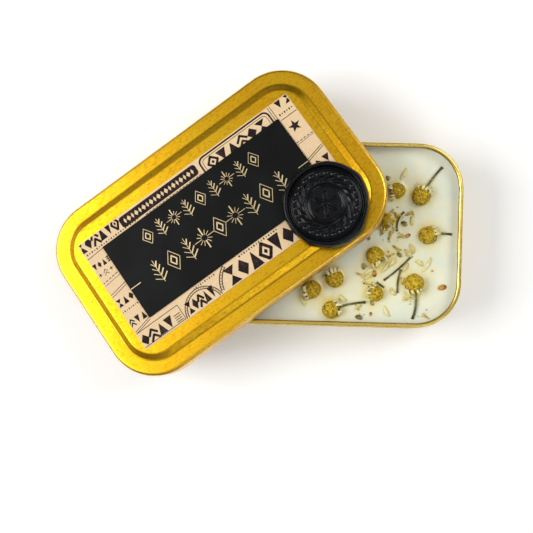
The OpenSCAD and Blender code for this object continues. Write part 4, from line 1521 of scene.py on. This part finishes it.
def build_floor():
    mesh = bpy.data.meshes.new("studio_floor")
    reach = 3.0
    mesh.from_pydata([(-reach, -reach, 0), (reach, -reach, 0), (reach, reach, 0),
                      (-reach, reach, 0)], [], [[0, 1, 2, 3]])
    mesh.materials.append(floor_white())
    floor = bpy.data.objects.new("studio_floor", mesh)
    floor.location.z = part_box("tin_base")[0][2] - 0.0001
    bpy.context.scene.collection.objects.link(floor)


def softbox(name, azimuth, zenith, distance, size, radiance, tint):
    """An area light that looks at the origin, of that radiance."""
    light = bpy.data.lights.new(name, "AREA")
    light.shape = "RECTANGLE"
    light.size, light.size_y = size
    light.energy = radiance * math.pi * size[0] * size[1]
    light.color = tint
    lamp = bpy.data.objects.new(name, light)
    az, ze = math.radians(azimuth), math.radians(zenith)
    out = Vector((math.sin(ze) * math.cos(az), math.sin(ze) * math.sin(az), math.cos(ze)))
    lamp.location = out * distance
    lamp.rotation_mode = "QUATERNION"
    lamp.rotation_quaternion = out.to_track_quat("Z", "Y")
    bpy.context.scene.collection.objects.link(lamp)


def build_world():
    """Soft surroundings: bright overhead and dark towards the horizon."""
    world = bpy.data.worlds.new("studio")
    bpy.context.scene.world = world
    world.use_nodes = True
    tree = world.node_tree
    up = node(tree, "TexCoord").outputs["Generated"]
    z = node(tree, "SeparateXYZ", {"Vector": up}).outputs["Z"]
    levels = [(0.0, 0.12), (0.30, 0.05), (0.55, 0.10), (0.74, 0.42), (0.90, 0.58), (0.98, 0.46)]
    stops = [(height, (level, level, level)) for height, level in levels]
    light = ramp(tree, z, stops)
    tree.links.new(light, tree.nodes["Background"].inputs["Color"])
    tree.nodes["Background"].inputs["Strength"].default_value = 1.0


def build_camera():
    data = bpy.data.cameras.new("camera")
    data.lens = CAMERA_LENS
    data.sensor_width = SENSOR
    data.clip_start, data.clip_end = 0.01, 20
    camera = bpy.data.objects.new("camera", data)
    camera.location = Vector(CAMERA_PLACE) * MM
    camera.rotation_euler = (0, 0, CAMERA_ROLL)
    bpy.context.scene.collection.objects.link(camera)
    bpy.context.scene.camera = camera


def build_studio():
    build_camera()
    build_floor()
    build_world()
    softbox("key", 180, 50, 0.8, (0.50, 0.38), 7.6, (1.0, 1.0, 0.99))
    softbox("side", 36, 45, 0.8, (0.42, 0.34), 4.6, (1.0, 0.99, 0.97))
    softbox("fill", -56, 52, 0.9, (0.40, 0.34), 2.2, (0.97, 0.99, 1.0))
    bpy.context.scene.view_settings.view_transform = "Standard"


# ---------------------------------------------------------------- object

build_studio()
build_lid()
build_base()
heads, stubs, yellow = build_heads()
build_stems(heads)
build_petals(stubs)
build_florets()
build_broken_head(yellow)
build_bracts()
build_seeds()
build_wax(heads)
build_paper()
build_card()
build_seal()
dress_adhesives()
